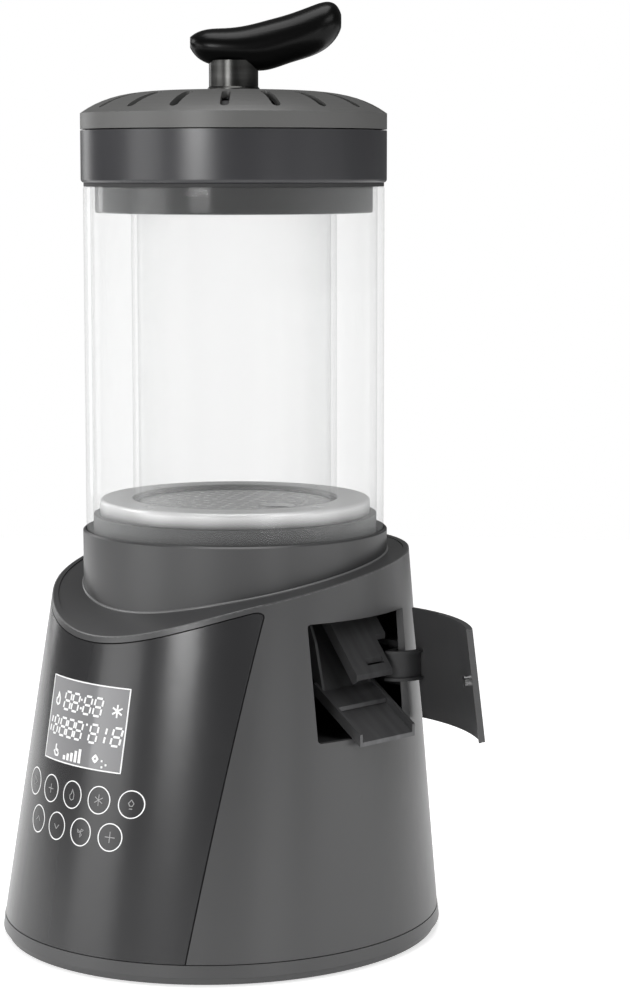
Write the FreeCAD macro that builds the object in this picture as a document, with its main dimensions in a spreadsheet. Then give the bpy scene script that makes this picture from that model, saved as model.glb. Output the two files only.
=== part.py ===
"""Home coffee bean roaster with a glass chamber, as separate pieces in one parametric document.

The chamber axis is X = Y = 0 and the table is Z = 0. The control panel faces -Y and the bean
outlet faces +X. Lengths are in millimetres.
"""

import FreeCAD, Part
import math
import os

import Sketcher

Vector = FreeCAD.Vector
Rotation = FreeCAD.Rotation
UP = Vector(0, 0, 1)

doc = FreeCAD.newDocument("Roaster")
sheet = doc.addObject("Spreadsheet::Sheet", "Sizes")

# Driving dimensions: name, value, meaning
SIZES = [
    ("glass_radius", 65.0, "outer radius of the outer glass"),
    ("glass_wall", 3.0, "wall of the outer glass"),
    ("glass_bottom", 172.8, "height of the outer glass's lower edge"),
    ("glass_top", 325.0, "height of the outer glass's upper edge"),
    ("chamber_radius", 44.5, "outer radius of the inner glass"),
    ("chamber_wall", 2.5, "wall of the inner glass"),
    ("chamber_top", 318.0, "height of the inner glass's upper edge"),
    ("floor_radius", 59.0, "radius of the chamber floor rim"),
    ("floor_top", 190.0, "height of the chamber floor rim"),
    ("floor_under", 183.3, "height of the rim's lower side"),
    ("gate_level", 184.2, "height of the underside of the bean gate"),
    ("seam", 9.5, "height of the seam between foot ring and shell"),
    ("foot_x", 93.0, "half width of the oval at the seam"),
    ("foot_y", 97.5, "half depth of the oval at the seam"),
    ("foot_shift", 8.5, "how far the oval at the seam stands forward of the axis"),
    ("shoulder_radius", 75.0, "radius of the shell carried up to the shoulder"),
    ("shoulder", 182.0, "height at which the shell would have the shoulder radius"),
    ("shell_wall", 2.5, "wall of the body shell"),
    ("deck_front_y", -95.0, "front end of the deck line"),
    ("deck_front_z", 129.5, "height of the deck line at its front end"),
    ("deck_bend_y", -45.0, "where the steep front of the deck line meets its long rear"),
    ("deck_bend_z", 154.7, "height of the deck line there"),
    ("deck_rear_y", 85.0, "rear end of the deck line"),
    ("deck_rear_z", 168.5, "height of the deck line at its rear end"),
    ("deck_front_bow", 117.8, "radius of the steep front of the deck line"),
    ("deck_wall", 2.4, "thickness of the deck"),
    ("deck_sink", 0.4, "how far the deck lies below the shell's rim"),
    ("collar_radius", 66.5, "outer radius of the neck collar"),
    ("collar_top", 177.0, "height of the neck collar"),
    ("collar_bore", 62.4, "bore of the neck collar below the glass seat"),
    ("panel_top_half", 64.8, "half width of the control panel at its upper corners"),
    ("panel_foot_half", 58.0, "half width of the control panel at the seam"),
    ("panel_drop", 2.6, "depth of the panel's upper edge below the deck line"),
    ("panel_gap", 0.5, "groove round the panel"),
    ("panel_wall", 1.5, "thickness of the panel"),
    ("panel_corner", 2.5, "radius of the panel's upper corners"),
    ("window_half", 24.5, "half width of the display window"),
    ("window_low", 84.3, "lower edge of the display window"),
    ("window_high", 119.3, "upper edge of the display window"),
    ("mouth_half", 29.3, "half width of the bean outlet"),
    ("mouth_low", 96.3, "lower edge of the bean outlet"),
    ("mouth_high", 145.6, "upper edge of the bean outlet"),
    ("door_gap", 0.5, "gap round the closed outlet door"),
    ("door_wall", 1.8, "thickness of the outlet door"),
    ("door_lip", 0.9, "height of the lip inside the door's edges"),
    ("door_open", 65.5, "angle by which the outlet door stands open"),
    ("pivot_x", 66.9, "hinge pin of the outlet door"),
    ("pivot_y", 33.3, "hinge pin of the outlet door"),
    ("pin_radius", 1.0, "radius of the hinge pin"),
    ("pin_play", 0.05, "radial play on pins and shafts"),
    ("arm_low", 114.5, "underside of the door's goose-neck arm"),
    ("arm_high", 127.5, "top of the door's goose-neck arm"),
    ("arm_inner", 9.4, "inner radius of the goose neck about the hinge pin"),
    ("arm_outer", 10.9, "outer radius of the goose neck"),
    ("arm_flange", 12.0, "radius of the goose neck's flanges"),
    ("tray_slope", 34.0, "slope of the chute tray"),
    ("tray_left", -12.4, "left face of the chute tray"),
    ("tray_right", 21.0, "right face of the chute tray"),
    ("sheet_wall", 1.5, "thickness of tray, duct and deflector"),
    ("lid_radius", 66.0, "outer radius of the lid"),
    ("lid_bottom", 326.6, "underside of the lid ring"),
    ("lid_seam", 349.1, "seam between lid ring and cap"),
    ("cap_edge", 356.1, "upper edge of the cap's band"),
    ("cap_wall", 2.4, "wall of the cap"),
    ("plug_radius", 60.0, "outer radius of the steel plug under the lid"),
    ("plug_bottom", 313.8, "underside of the steel plug"),
    ("slot_count", 18, "vent slots in the cap"),
    ("slot_width", 3.8, "width of a vent slot"),
    ("slot_inner", 46.0, "radius at which a vent slot starts"),
    ("slot_outer", 61.0, "radius at which a vent slot ends"),
    ("slot_turn", 13.0, "turn of the first vent slot from +X"),
    ("post_radius", 10.6, "radius of the handle post"),
    ("post_top", 378.6, "height of the handle post"),
    ("grip_turn", 46.5, "direction in which the grip points, from +X"),
    ("fan_radius", 36.0, "radius of the impeller"),
    ("shaft_radius", 1.5, "radius of the motor shaft"),
    ("motor_radius", 18.0, "radius of the motor"),
    ("heater_radius", 26.0, "outer radius of the heater tube"),
    ("heater_low", 84.4, "lower end of the heater tube"),
    ("heater_high", 154.5, "upper end of the heater tube"),
    ("blower_radius", 44.0, "outer radius of the blower housing"),
    ("gland_bore", 3.5, "bore of the cord gland"),
    ("gland_height", 26.0, "height of the cord gland's axis"),
]
for row, (alias, value, meaning) in enumerate(SIZES, start=1):
    sheet.set(f"A{row}", meaning)
    sheet.set(f"B{row}", str(value))
    sheet.setAlias(f"B{row}", alias)
doc.recompute()


def size(alias):
    """A driving dimension, for positions that are worked out here."""
    return float(sheet.get(alias))


def s(alias):
    """The same dimension as text for an expression."""
    return "Sizes." + alias


pieces = []


def piece(thing, label):
    """Marks an object as a finished piece of the roaster and names it."""
    thing.Label = label
    pieces.append(thing)
    return thing


def bind(thing, **expressions):
    """Binds properties to expressions; a double underscore stands for a dot."""
    for name, expression in expressions.items():
        thing.setExpression(name.replace("__", "."), str(expression))
    return thing


def place(thing, x=0, y=0, z=0):
    """Puts an object at a point whose coordinates are numbers or expressions."""
    return bind(thing, Placement__Base__x=x, Placement__Base__y=y, Placement__Base__z=z)


def cylinder(name, radius, height, x=0, y=0, z=0):
    thing = doc.addObject("Part::Cylinder", name)
    bind(thing, Radius=radius, Height=height)
    return place(thing, x, y, z)


def box(name, low, high):
    """A box between two corners, each coordinate a number or an expression."""
    thing = doc.addObject("Part::Box", name)
    bind(thing, Length=f"({high[0]}) - ({low[0]})")
    bind(thing, Width=f"({high[1]}) - ({low[1]})")
    bind(thing, Height=f"({high[2]}) - ({low[2]})")
    return place(thing, *low)


def cut(name, base, tool):
    thing = doc.addObject("Part::Cut", name)
    thing.Base = base
    thing.Tool = tool
    return thing


def common(name, *shapes):
    thing = doc.addObject("Part::MultiCommon", name)
    thing.Shapes = list(shapes)
    return thing


def fuse(name, *shapes):
    thing = doc.addObject("Part::MultiFuse", name)
    thing.Shapes = list(shapes)
    return thing


def group(name, shapes):
    """Separate solids kept together, as a set of cutters or of like fasteners."""
    thing = doc.addObject("Part::Compound", name)
    thing.Links = list(shapes)
    return thing


def turned(thing, angle, x=0.0, y=0.0, z=0.0):
    """Turns an object about a vertical line through a point."""
    turn = Rotation(UP, angle)
    centre = Vector(x, y, z)
    thing.Placement = FreeCAD.Placement(Vector(), turn, centre).multiply(thing.Placement)
    return thing


def swung(thing, angle):
    """The object in a holder that is turned about the chamber axis."""
    holder = group(thing.Name + "Swung", [thing])
    holder.Placement = FreeCAD.Placement(Vector(), Rotation(UP, angle))
    return holder


def origin_plane(body, role):
    return next(f for f in body.Origin.OriginFeatures if f.Role == role)


def outline(body, name, role, points, offset=0):
    """A closed sketch through points whose coordinates are bound to expressions."""
    sketch = body.newObject("Sketcher::SketchObject", name)
    sketch.AttachmentSupport = [(origin_plane(body, role), "")]
    sketch.MapMode = "FlatFace"
    bind(sketch, AttachmentOffset__Base__z=offset)
    count = len(points)
    start = [(math.cos(math.tau * i / count), math.sin(math.tau * i / count)) for i in range(count)]
    for i in range(count):
        a = start[i]
        b = start[(i + 1) % count]
        sketch.addGeometry(Part.LineSegment(Vector(a[0], a[1], 0), Vector(b[0], b[1], 0)))
    for i in range(count):
        sketch.addConstraint(Sketcher.Constraint("Coincident", i, 2, (i + 1) % count, 1))
    for i, point in enumerate(points):
        for kind, letter, value, first in zip(("DistanceX", "DistanceY"), "uv", point, start[i]):
            index = sketch.addConstraint(Sketcher.Constraint(kind, -1, 1, i, 1, first))
            sketch.renameConstraint(index, f"{letter}{i}")
            sketch.setExpression(f"Constraints.{letter}{i}", str(value))
    return sketch


def revolved(name, points):
    """A body turned about the chamber axis from a radius-height outline."""
    body = doc.addObject("PartDesign::Body", name)
    sketch = outline(body, name + "Outline", "XZ_Plane", points)
    turn = body.newObject("PartDesign::Revolution", name + "Turn")
    turn.Profile = sketch
    turn.ReferenceAxis = (sketch, ["V_Axis"])
    turn.Angle = 360
    return body


def ring(name, inner, outer, low, high):
    """A plain ring about the chamber axis."""
    return revolved(name, [(inner, low), (outer, low), (outer, high), (inner, high)])


def sideways(name, points, left, right):
    """A body with an outline in X and Z, from one Y to another."""
    body = doc.addObject("PartDesign::Body", name)
    sketch = outline(body, name + "Outline", "XZ_Plane", points, f"-({right})")
    pad = body.newObject("PartDesign::Pad", name + "Pad")
    pad.Profile = sketch
    bind(pad, Length=f"({right}) - ({left})")
    return body


def rounded(body, amount, chosen):
    """Rounds the edges of a body that a test picks."""
    doc.recompute()
    edges = [f"Edge{i}" for i, edge in enumerate(body.Shape.Edges, start=1) if chosen(edge)]
    last = body.Tip
    fillet = body.newObject("PartDesign::Fillet", last.Name + "Round")
    fillet.Base = (last, edges)
    fillet.Radius = amount
    body.Tip = fillet
    return body


def circle_at(radius, height):
    """A test that picks the horizontal circle of a radius at a height."""

    def chosen(edge):
        curve = edge.Curve
        round_edge = curve.TypeId == "Part::GeomCircle" and abs(curve.Radius - radius) < 0.01
        return round_edge and abs(curve.Center.z - height) < 0.01

    return chosen


# The oval, tapering envelope of the base, drawn in by a distance


def oval(name, half_x, half_y, y, z):
    ellipse = doc.addObject("Part::Ellipse", name)
    bind(ellipse, MajorRadius=half_y, MinorRadius=half_x)
    ellipse.Placement = FreeCAD.Placement(Vector(), Rotation(UP, 90))
    return place(ellipse, 0, y, z)


def envelope(name, inset=0):
    foot_x = f"{s('foot_x')} - ({inset})"
    foot_y = f"{s('foot_y')} - ({inset})"
    top = f"{s('shoulder_radius')} - ({inset})"
    foot = oval(name + "Foot", foot_x, foot_y, "-" + s("foot_shift"), s("seam"))
    head = oval(name + "Head", top, top, 0, s("shoulder"))
    loft = doc.addObject("Part::Loft", name)
    loft.Sections = [foot, head]
    loft.Solid = True
    loft.Ruled = True
    return loft


def envelope_at(z, inset=0.0):
    """Half widths and centre of the envelope at a height."""
    share = (z - size("seam")) / (size("shoulder") - size("seam"))
    half_x = size("foot_x") + (size("shoulder_radius") - size("foot_x")) * share - inset
    half_y = size("foot_y") + (size("shoulder_radius") - size("foot_y")) * share - inset
    return half_x, half_y, -size("foot_shift") * (1 - share)


def front_y(x, z, inset=0.0):
    """Y of the envelope's front at a place across the panel."""
    half_x, half_y, centre = envelope_at(z, inset)
    return centre - half_y * math.sqrt(1 - (x / half_x) ** 2)


def above_deck(name, drop=0):
    """Everything above the deck line, whose front falls away in one long sweep."""
    body = doc.addObject("PartDesign::Body", name)
    sketch = body.newObject("Sketcher::SketchObject", name + "Line")
    sketch.AttachmentSupport = [(origin_plane(body, "YZ_Plane"), "")]
    sketch.MapMode = "FlatFace"
    bind(sketch, AttachmentOffset__Base__y=f"-({drop})", AttachmentOffset__Base__z=-120)
    front = Vector(size("deck_front_y"), size("deck_front_z"), 0)
    bend = Vector(size("deck_bend_y"), size("deck_bend_z"), 0)
    rear = Vector(size("deck_rear_y"), size("deck_rear_z"), 0)
    bow_front = (front + bend) * 0.5 + Vector(-1.5, 3.0, 0)
    bow_rear = (bend + rear) * 0.5 + Vector(-0.4, 4.0, 0)
    rim = 240
    sketch.addGeometry(Part.Arc(front, bow_front, bend))
    sketch.addGeometry(Part.Arc(bend, bow_rear, rear))
    sketch.addGeometry(Part.LineSegment(rear, Vector(rear.x, rim, 0)))
    sketch.addGeometry(Part.LineSegment(Vector(rear.x, rim, 0), Vector(front.x, rim, 0)))
    sketch.addGeometry(Part.LineSegment(Vector(front.x, rim, 0), front))
    # Both arcs run anticlockwise in the sketch, so each starts at its rear end
    join = Sketcher.Constraint
    sketch.addConstraint(join("Tangent", 0, 1, 1, 2))
    sketch.addConstraint(join("Coincident", 1, 1, 2, 1))
    sketch.addConstraint(join("Coincident", 2, 2, 3, 1))
    sketch.addConstraint(join("Coincident", 3, 2, 4, 1))
    sketch.addConstraint(join("Coincident", 4, 2, 0, 2))
    sketch.addConstraint(join("Vertical", 2))
    sketch.addConstraint(join("Horizontal", 3))
    sketch.addConstraint(join("Vertical", 4))
    fixed = [
        ("DistanceX", 0, 2, "deck_front_y"),
        ("DistanceY", 0, 2, "deck_front_z"),
        ("DistanceX", 0, 1, "deck_bend_y"),
        ("DistanceY", 0, 1, "deck_bend_z"),
        ("DistanceX", 1, 1, "deck_rear_y"),
        ("DistanceY", 1, 1, "deck_rear_z"),
    ]
    for kind, line, end, alias in fixed:
        index = sketch.addConstraint(join(kind, -1, 1, line, end, size(alias)))
        sketch.renameConstraint(index, alias)
        sketch.setExpression(f"Constraints.{alias}", s(alias))
    index = sketch.addConstraint(join("Radius", 0, size("deck_front_bow")))
    sketch.renameConstraint(index, "bow")
    sketch.setExpression("Constraints.bow", s("deck_front_bow"))
    sketch.addConstraint(join("DistanceY", -1, 1, 3, 1, rim))
    pad = body.newObject("PartDesign::Pad", name + "Pad")
    pad.Profile = sketch
    pad.Length = 240
    return body


outer = envelope("Outer")
inner = envelope("Inner", s("shell_wall"))
sky = above_deck("Sky")

# Body shell

panel_top = f"{s('deck_bend_z')} + 12"
half_top = f"({s('panel_top_half')} + ({s('panel_top_half')} - {s('panel_foot_half')}) * 0.12)"


def panel_field(name, grow):
    """The trapezoid that the panel fills, with its upper corners rounded later."""
    foot = f"{s('panel_foot_half')} + {grow}"
    head = f"{half_top} + {grow}"
    low = f"{s('seam')} - 2"
    points = [(f"-({foot})", low), (foot, low), (head, panel_top), (f"-({head})", panel_top)]
    return sideways(name, points, -130, -20)


def panel_block(name, grow, drop, corner):
    """The trapezoid under the dropped deck line, with rounded upper corners."""
    field = panel_field(name + "Field", grow)
    lid = above_deck(name + "Lid", drop)
    block = cut(name + "Block", field, lid)
    doc.recompute()

    def is_corner(edge):
        ends = [v.Point for v in edge.Vertexes]
        return len(ends) == 2 and abs(abs(ends[0].x) - abs(ends[1].x)) < 3 and all(
            abs(p.x) > 55 and p.z > 120 for p in ends
        ) and abs(ends[0].y - ends[1].y) > 20

    picked = [i for i, edge in enumerate(block.Shape.Edges, start=1) if is_corner(edge)]
    fillet = doc.addObject("Part::Fillet", name)
    fillet.Base = block
    fillet.Edges = [(i, corner, corner) for i in picked]
    return fillet


groove = panel_block("Groove", s("panel_gap"), f"{s('panel_drop')} - {s('panel_gap')}", 3.0)
panel_shape = panel_block("PanelShape", 0, s("panel_drop"), size("panel_corner"))

wall = cut("Wall", cut("Shelled", outer, inner), sky)
recess_floor = envelope("RecessFloor", f"{s('panel_wall')} + 0.1")
recess = cut("Recess", groove, recess_floor)
mouth_block = box(
    "MouthBlock",
    (50, "-" + s("mouth_half"), s("mouth_low")),
    (100, s("mouth_half") + " + 2", s("mouth_high")),
)


def softened(name, block, radius):
    """A block with its four edges along X rounded."""
    doc.recompute()
    chosen = []
    for i, edge in enumerate(block.Shape.Edges, start=1):
        ends = [v.Point for v in edge.Vertexes]
        if abs(ends[0].x - ends[1].x) > 5:
            chosen.append((i, radius, radius))
    fillet = doc.addObject("Part::Fillet", name)
    fillet.Base = block
    fillet.Edges = chosen
    return fillet


mouth_box = softened("MouthBox", mouth_block, 1.6)


def hinge_cone(name, gap):
    """The cone about the hinge pin at which shell edge and door edge part."""
    cone = doc.addObject("Part::Cone", name)
    rise = 60.0
    lean = 0.0868
    middle = 8.7
    half = (size("mouth_low") + size("mouth_high")) / 2
    cone.Height = rise
    cone.Radius1 = middle + lean * rise / 2 - gap
    cone.Radius2 = middle - lean * rise / 2 - gap
    return place(cone, s("pivot_x"), s("pivot_y"), half - rise / 2)


mouth = cut("Mouth", mouth_box, hinge_cone("ShellCone", size("door_gap")))
gland_hole = doc.addObject("Part::Cylinder", "GlandHole")
gland_hole.Placement = FreeCAD.Placement(Vector(0, 60, 0), Rotation(Vector(1, 0, 0), -90))
bind(gland_hole, Radius=f"{s('gland_bore')} + 3.6", Height=50, Placement__Base__z=s("gland_height"))
window_hole = box(
    "WindowHole",
    ("-" + s("window_half") + " + 1.5", -130, s("window_low") + " + 1.5"),
    (s("window_half") + " - 1.5", -60, s("window_high") + " - 1.5"),
)
openings = group("ShellOpenings", [recess, mouth, gland_hole, window_hole])
body_shell = piece(cut("BodyShell", wall, openings), "body_shell")

# Deck and neck collar

deck_edge = envelope("DeckEdge", f"{s('shell_wall')} + 0.1")
deck_top = above_deck("DeckTop", s("deck_sink"))
deck_under = above_deck("DeckUnder", f"{s('deck_sink')} + {s('deck_wall')}")
deck_slab = cut("DeckSlab", common("DeckBand", deck_edge, deck_under), deck_top)
deck_hole = cylinder("DeckHole", s("collar_radius") + " + 0.1", 200, z=60)
top_deck = piece(cut("TopDeck", deck_slab, deck_hole), "top_deck")

seat = f"{s('glass_bottom')} - 1.6"
collar_ring = revolved(
    "CollarRing",
    [
        (s("collar_radius") + " - 2", 118),
        (s("collar_radius"), 118),
        (s("collar_radius"), s("collar_top") + " - 0.7"),
        (s("collar_radius") + " - 0.7", s("collar_top")),
        (s("glass_radius") + " + 0.4", s("collar_top")),
        (s("glass_radius") + " + 0.3", seat),
        (s("collar_bore"), seat),
        (s("collar_bore"), 160),
        (s("collar_radius") + " - 2", 156),
    ],
)
piece(common("NeckCollar", collar_ring, above_deck("CollarFoot", 6)), "neck_collar")
collar_gasket = ring(
    "CollarGasket", s("collar_bore") + " + 0.2", s("glass_radius"), seat, s("glass_bottom")
)
piece(collar_gasket, "collar_gasket")

# Foot ring, base plate and rubber foot pad


def straight_oval(name, inset, low, high, flare=0):
    """An upright oval plug between two heights, as wide as the seam less an inset."""
    rings = []
    for tag, grow, z in (("A", flare, low), ("B", 0, high)):
        half_x = f"{s('foot_x')} - ({inset}) + {grow}"
        half_y = f"{s('foot_y')} - ({inset}) + {grow}"
        rings.append(oval(name + tag, half_x, half_y, "-" + s("foot_shift"), z))
    loft = doc.addObject("Part::Loft", name)
    loft.Sections = rings
    loft.Solid = True
    loft.Ruled = True
    return loft


foot_low = 0.8
foot_body = fuse(
    "FootBody",
    straight_oval("FootUpper", -0.2, 4.0, s("seam") + " - 0.35", 0.7),
    straight_oval("FootLower", 1.2, foot_low, 4.0),
)
foot_void = straight_oval("FootVoid", 3.4, -1, s("seam") + " + 1")
foot_ring = piece(cut("FootRing", foot_body, foot_void), "foot_ring")
plate = straight_oval("Plate", 3.6, 3.0, 5.5)
intake_slots = []
for i in range(12):
    slot = box(f"Intake{i}", (14, -1.6, 0), (25, 1.6, 8))
    intake_slots.append(swung(slot, 30 * i))
screw_spots = [(50, 38), (-50, 38), (50, -54), (-50, -54)]
screw_holes = [cylinder(f"ScrewHole{i}", 2.2, 10, x, y, -1) for i, (x, y) in enumerate(screw_spots)]
pad_groove = cut(
    "PadGroove", straight_oval("PadOutA", 8, -1, 4), straight_oval("PadInA", 16, -2, 5)
)
plate_cuts = group("PlateCuts", intake_slots + screw_holes + [pad_groove])
base_plate = piece(cut("BasePlate", plate, plate_cuts), "base_plate")
foot_pad = cut("FootPad", straight_oval("PadOut", 8.2, 0, 3.9), straight_oval("PadIn", 15.8, -1, 5))
piece(foot_pad, "foot_pad")


def screw(name, x, y, z, head, shank, length, grip=1.6):
    """A pan head screw with its head down at z and its shank upward, and a cross recess."""
    top = cylinder(name + "Head", head, grip, x, y, z)
    stem = cylinder(name + "Stem", shank, length, x, y, f"{z} + {grip} - 0.2")
    bar = box(name + "Bar", (f"{x} - {head * 0.6}", f"{y} - 0.3", f"{z} - 1"),
              (f"{x} + {head * 0.6}", f"{y} + 0.3", f"{z} + 0.8"))
    return cut(name, fuse(name + "Whole", top, stem), bar)


base_screws = [
    screw(f"BaseScrew{i}", x, y, 1.3, 3.6, 1.9, 12) for i, (x, y) in enumerate(screw_spots)
]
piece(group("BaseScrews", base_screws), "base_screws")

# Control panel, display and touch keys

panel_skin = cut("PanelSkin", outer, envelope("PanelBack", s("panel_wall")))
window_cut = box(
    "WindowCut",
    ("-" + s("window_half"), -130, s("window_low")),
    (s("window_half"), -60, s("window_high")),
)
panel_trim = common("PanelTrim", panel_skin, panel_shape)
control_panel = piece(cut("ControlPanel", panel_trim, window_cut), "control_panel")
window_block = box(
    "WindowBlock",
    ("-" + s("window_half") + " + 0.1", -130, s("window_low") + " + 0.1"),
    (s("window_half") + " - 0.1", -60, s("window_high") + " - 0.1"),
)
display_window = piece(
    common("DisplayWindow", cut("WindowSkin", envelope("WindowFace", 0.1),
                                envelope("WindowBack", s("panel_wall") + " - 0.1")), window_block),
    "display_window",
)
front_lean = math.degrees(
    math.atan2(
        size("foot_y") + size("foot_shift") - size("shoulder_radius"),
        size("shoulder") - size("seam"),
    )
)


def leaning_box(name, half_width, low, high, depth, thickness):
    """A flat box parallel to the panel's front line, a depth behind it."""
    middle = (low + high) / 2
    y = front_y(0, middle) + depth
    thing = doc.addObject("Part::Box", name)
    thing.Length = 2 * half_width
    thing.Width = thickness
    thing.Height = high - low
    tilt = Rotation(Vector(1, 0, 0), -front_lean)
    centre = Vector(0, y, middle)
    corner = Vector(-half_width, 0, -(high - low) / 2)
    thing.Placement = FreeCAD.Placement(centre + tilt.multVec(corner), tilt)
    return thing


screen_low = size("window_low") - 2
screen_high = size("window_high") + 2
piece(leaning_box("DisplayModule", 27, screen_low, screen_high, 8.0, 3.6), "display_module")
board_low = 50.0
piece(leaning_box("ControlBoard", 36, board_low, 124, 18.0, 1.6), "control_board")
key_pitch = 15.4
key_rows = [(72.6, [-2, -1, 0, 1, 2]), (58.3, [-1.5, -0.5, 0.5, 1.5])]
springs = []
for height, places in key_rows:
    for step in places:
        x = step * key_pitch
        y_front = front_y(x, height) + size("shell_wall") + 1.6
        y_board = front_y(0, height) + 17.6
        spring = doc.addObject("Part::Cylinder", f"KeySpring{len(springs)}")
        spring.Radius = 2.2
        spring.Height = y_board - y_front
        spring.Placement = FreeCAD.Placement(
            Vector(x, y_front, height), Rotation(Vector(1, 0, 0), -90)
        )
        bore = doc.addObject("Part::Cylinder", f"KeySpringBore{len(springs)}")
        bore.Radius = 1.4
        bore.Height = y_board - y_front
        bore.Placement = spring.Placement
        springs.append(cut(f"KeyCoil{len(springs)}", spring, bore))
piece(group("TouchSprings", springs), "touch_springs")

# Blower

blower_low = 9.0
blower = revolved(
    "BlowerHousing",
    [
        (22, blower_low),
        (s("blower_radius"), blower_low),
        (s("blower_radius"), 40),
        (s("heater_radius"), 76),
        (s("heater_radius"), s("heater_low") + " - 0.4"),
        (s("heater_radius") + " - 2", s("heater_low") + " - 0.4"),
        (s("heater_radius") + " - 2", 75),
        (s("blower_radius") + " - 2", 39),
        (s("blower_radius") + " - 2", blower_low + 2),
        (22, blower_low + 2),
    ],
)
legs = []
for i in range(3):
    leg = cylinder(f"BlowerLeg{i}", 4, blower_low - 5.5, 36, 0, 5.5)
    legs.append(swung(leg, 120 * i + 60))
piece(fuse("BlowerUnit", blower, *legs), "blower_housing")
motor_low = 42.0
motor = revolved(
    "Motor",
    [
        (s("shaft_radius") + " + " + s("pin_play"), motor_low),
        (6, motor_low),
        (6, motor_low + 2),
        (s("motor_radius"), motor_low + 2),
        (s("motor_radius"), 68),
        (9, 70),
        (s("shaft_radius") + " + " + s("pin_play"), 70),
    ],
)
piece(motor, "blower_motor")
mount_ring = ring(
    "MountRing", s("motor_radius") + " + 0.1", s("motor_radius") + " + 2.4", 46, 52
)
struts = []
for i in range(3):
    strut = box(f"Strut{i}", (size("motor_radius") + 1, -1.5, 46), (35.5, 1.5, 50))
    struts.append(swung(strut, 120 * i))
piece(fuse("MotorMount", mount_ring, *struts), "motor_mount")
shaft = revolved("MotorShaft", [(0, 13), (s("shaft_radius"), 13), (s("shaft_radius"), 66), (0, 66)])
piece(shaft, "motor_shaft")
wheel = revolved(
    "WheelDisc",
    [
        (s("shaft_radius"), 14),
        (5, 14),
        (7, 30),
        (s("fan_radius"), 34),
        (s("fan_radius"), 35.4),
        (s("shaft_radius"), 35.4),
    ],
)
blades = []
for i in range(9):
    blade = doc.addObject("Part::Cylinder", f"Blade{i}")
    blade.Radius = 24
    blade.Height = 17
    blade.Angle = 62
    hollow = doc.addObject("Part::Cylinder", f"BladeHollow{i}")
    hollow.Radius = 22.8
    hollow.Height = 17
    hollow.Angle = 62
    curved = cut(f"BladeCurve{i}", blade, hollow)
    curved.Placement = FreeCAD.Placement(Vector(0, 23.4, 17.5), Rotation(UP, -70))
    blades.append(turned(curved, 40 * i))
blade_field = cylinder("BladeField", s("fan_radius") + " - 1", 17, z=17.5)
blade_core = cylinder("BladeCore", 8.5, 20, z=16)
blade_set = cut("BladeSet", common("BladeTrim", blade_field, group("Blades", blades)), blade_core)
under_disc = revolved(
    "UnderDisc", [(0, 10), (60, 10), (60, 37), (s("fan_radius"), 34.1), (7, 30.1), (0, 30.1)]
)
impeller = fuse("Impeller", wheel, common("BladeUnder", blade_set, under_disc))
piece(impeller, "impeller")

# Heater

heater_tube = ring(
    "HeaterTube", s("heater_radius") + " - 1", s("heater_radius"), s("heater_low"), s("heater_high")
)
piece(heater_tube, "heater_tube")
mica_a = box("MicaA", (-22, -0.5, 90), (22, 0.5, 150))
mica_b = box("MicaB", (-0.5, -22, 90), (0.5, 22, 150))
piece(fuse("HeaterFrame", mica_a, mica_b), "heater_frame")
coils = []
for i in range(4):
    angle = math.radians(45 + 90 * i)
    x = 11 * math.cos(angle)
    y = 11 * math.sin(angle)
    sleeve = cylinder(f"Coil{i}", 5.5, 54, x, y, 93)
    core = cylinder(f"CoilCore{i}", 4.3, 54, x, y, 93)
    coils.append(cut(f"CoilWind{i}", sleeve, core))
piece(group("HeaterCoils", coils), "heater_coils")
piece(cylinder("ThermalFuse", 2.2, 14, "-" + s("heater_radius") + " - 2.6", 0, 118), "thermal_fuse")
piece(cylinder("TemperatureProbe", 1.5, 28, -18, -14, 152), "temperature_probe")
funnel = revolved(
    "Funnel",
    [
        (s("heater_radius") + " + 0.2", 152),
        (s("heater_radius") + " + 1.2", 152),
        (s("heater_radius") + " + 1.2", 160),
        (39, 172),
        (39, 180),
        (38, 180),
        (38, 172.4),
        (s("heater_radius") + " + 0.2", 160.4),
    ],
)

# Bean outlet: duct, deflector, tray, frame

duct_left = f"{s('tray_left')} + {s('sheet_wall')} + 0.4"
duct_right = f"{s('tray_right')} - {s('sheet_wall')} - 0.4"
slope = f"tan({s('tray_slope')} * 1 deg)"
lip_x = 73.0
lip_z = 107.9
step_x = 64.3
step_z = f"{lip_z} + ({lip_x} - {step_x}) * {slope}"
ramp_rise = 1.147
ramp_x = 12.5
ramp_z = f"{step_z} + ({step_x} - {ramp_x}) * {ramp_rise}"
skin = 1.8
roof_x = 50.5
roof_z = 152.5
roof_start = 37.0
roof_start_z = f"{roof_z} + ({roof_x} - {roof_start}) * {ramp_rise}"
duct_floor = sideways(
    "DuctFloor",
    [
        (ramp_x, ramp_z),
        (ramp_x, f"{ramp_z} - 2.2"),
        (step_x, f"{step_z} - {skin}"),
        (lip_x, f"{lip_z} - {skin}"),
        (lip_x, lip_z),
        (step_x, step_z),
    ],
    duct_left,
    duct_right,
)
duct_roof = sideways(
    "DuctRoof",
    [
        (roof_start, roof_start_z),
        (roof_x, roof_z),
        (roof_x, f"{roof_z} + 2.2"),
        (roof_start, f"{roof_start_z} + 2.2"),
    ],
    duct_left,
    duct_right,
)
duct_side = [
    (ramp_x, ramp_z),
    (step_x, step_z),
    (59.5, 134),
    (roof_x, f"{roof_z} + 2.2"),
    (roof_start, f"{roof_start_z} + 2.2"),
    (ramp_x + 4, f"{ramp_z} + 6"),
]
duct_wall_left = sideways("DuctWallLeft", duct_side, duct_left, f"{duct_left} + {s('sheet_wall')}")
duct_wall_right = sideways("DuctWallRight", duct_side, f"{duct_right} - {s('sheet_wall')}", duct_right)
duct = fuse("Duct", duct_floor, duct_roof, duct_wall_left, duct_wall_right)
duct_top = box("DuctTop", (0, -20, 181.5), (60, 30, 220))
piece(cut("DischargeDuct", duct, duct_top), "discharge_duct")
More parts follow.
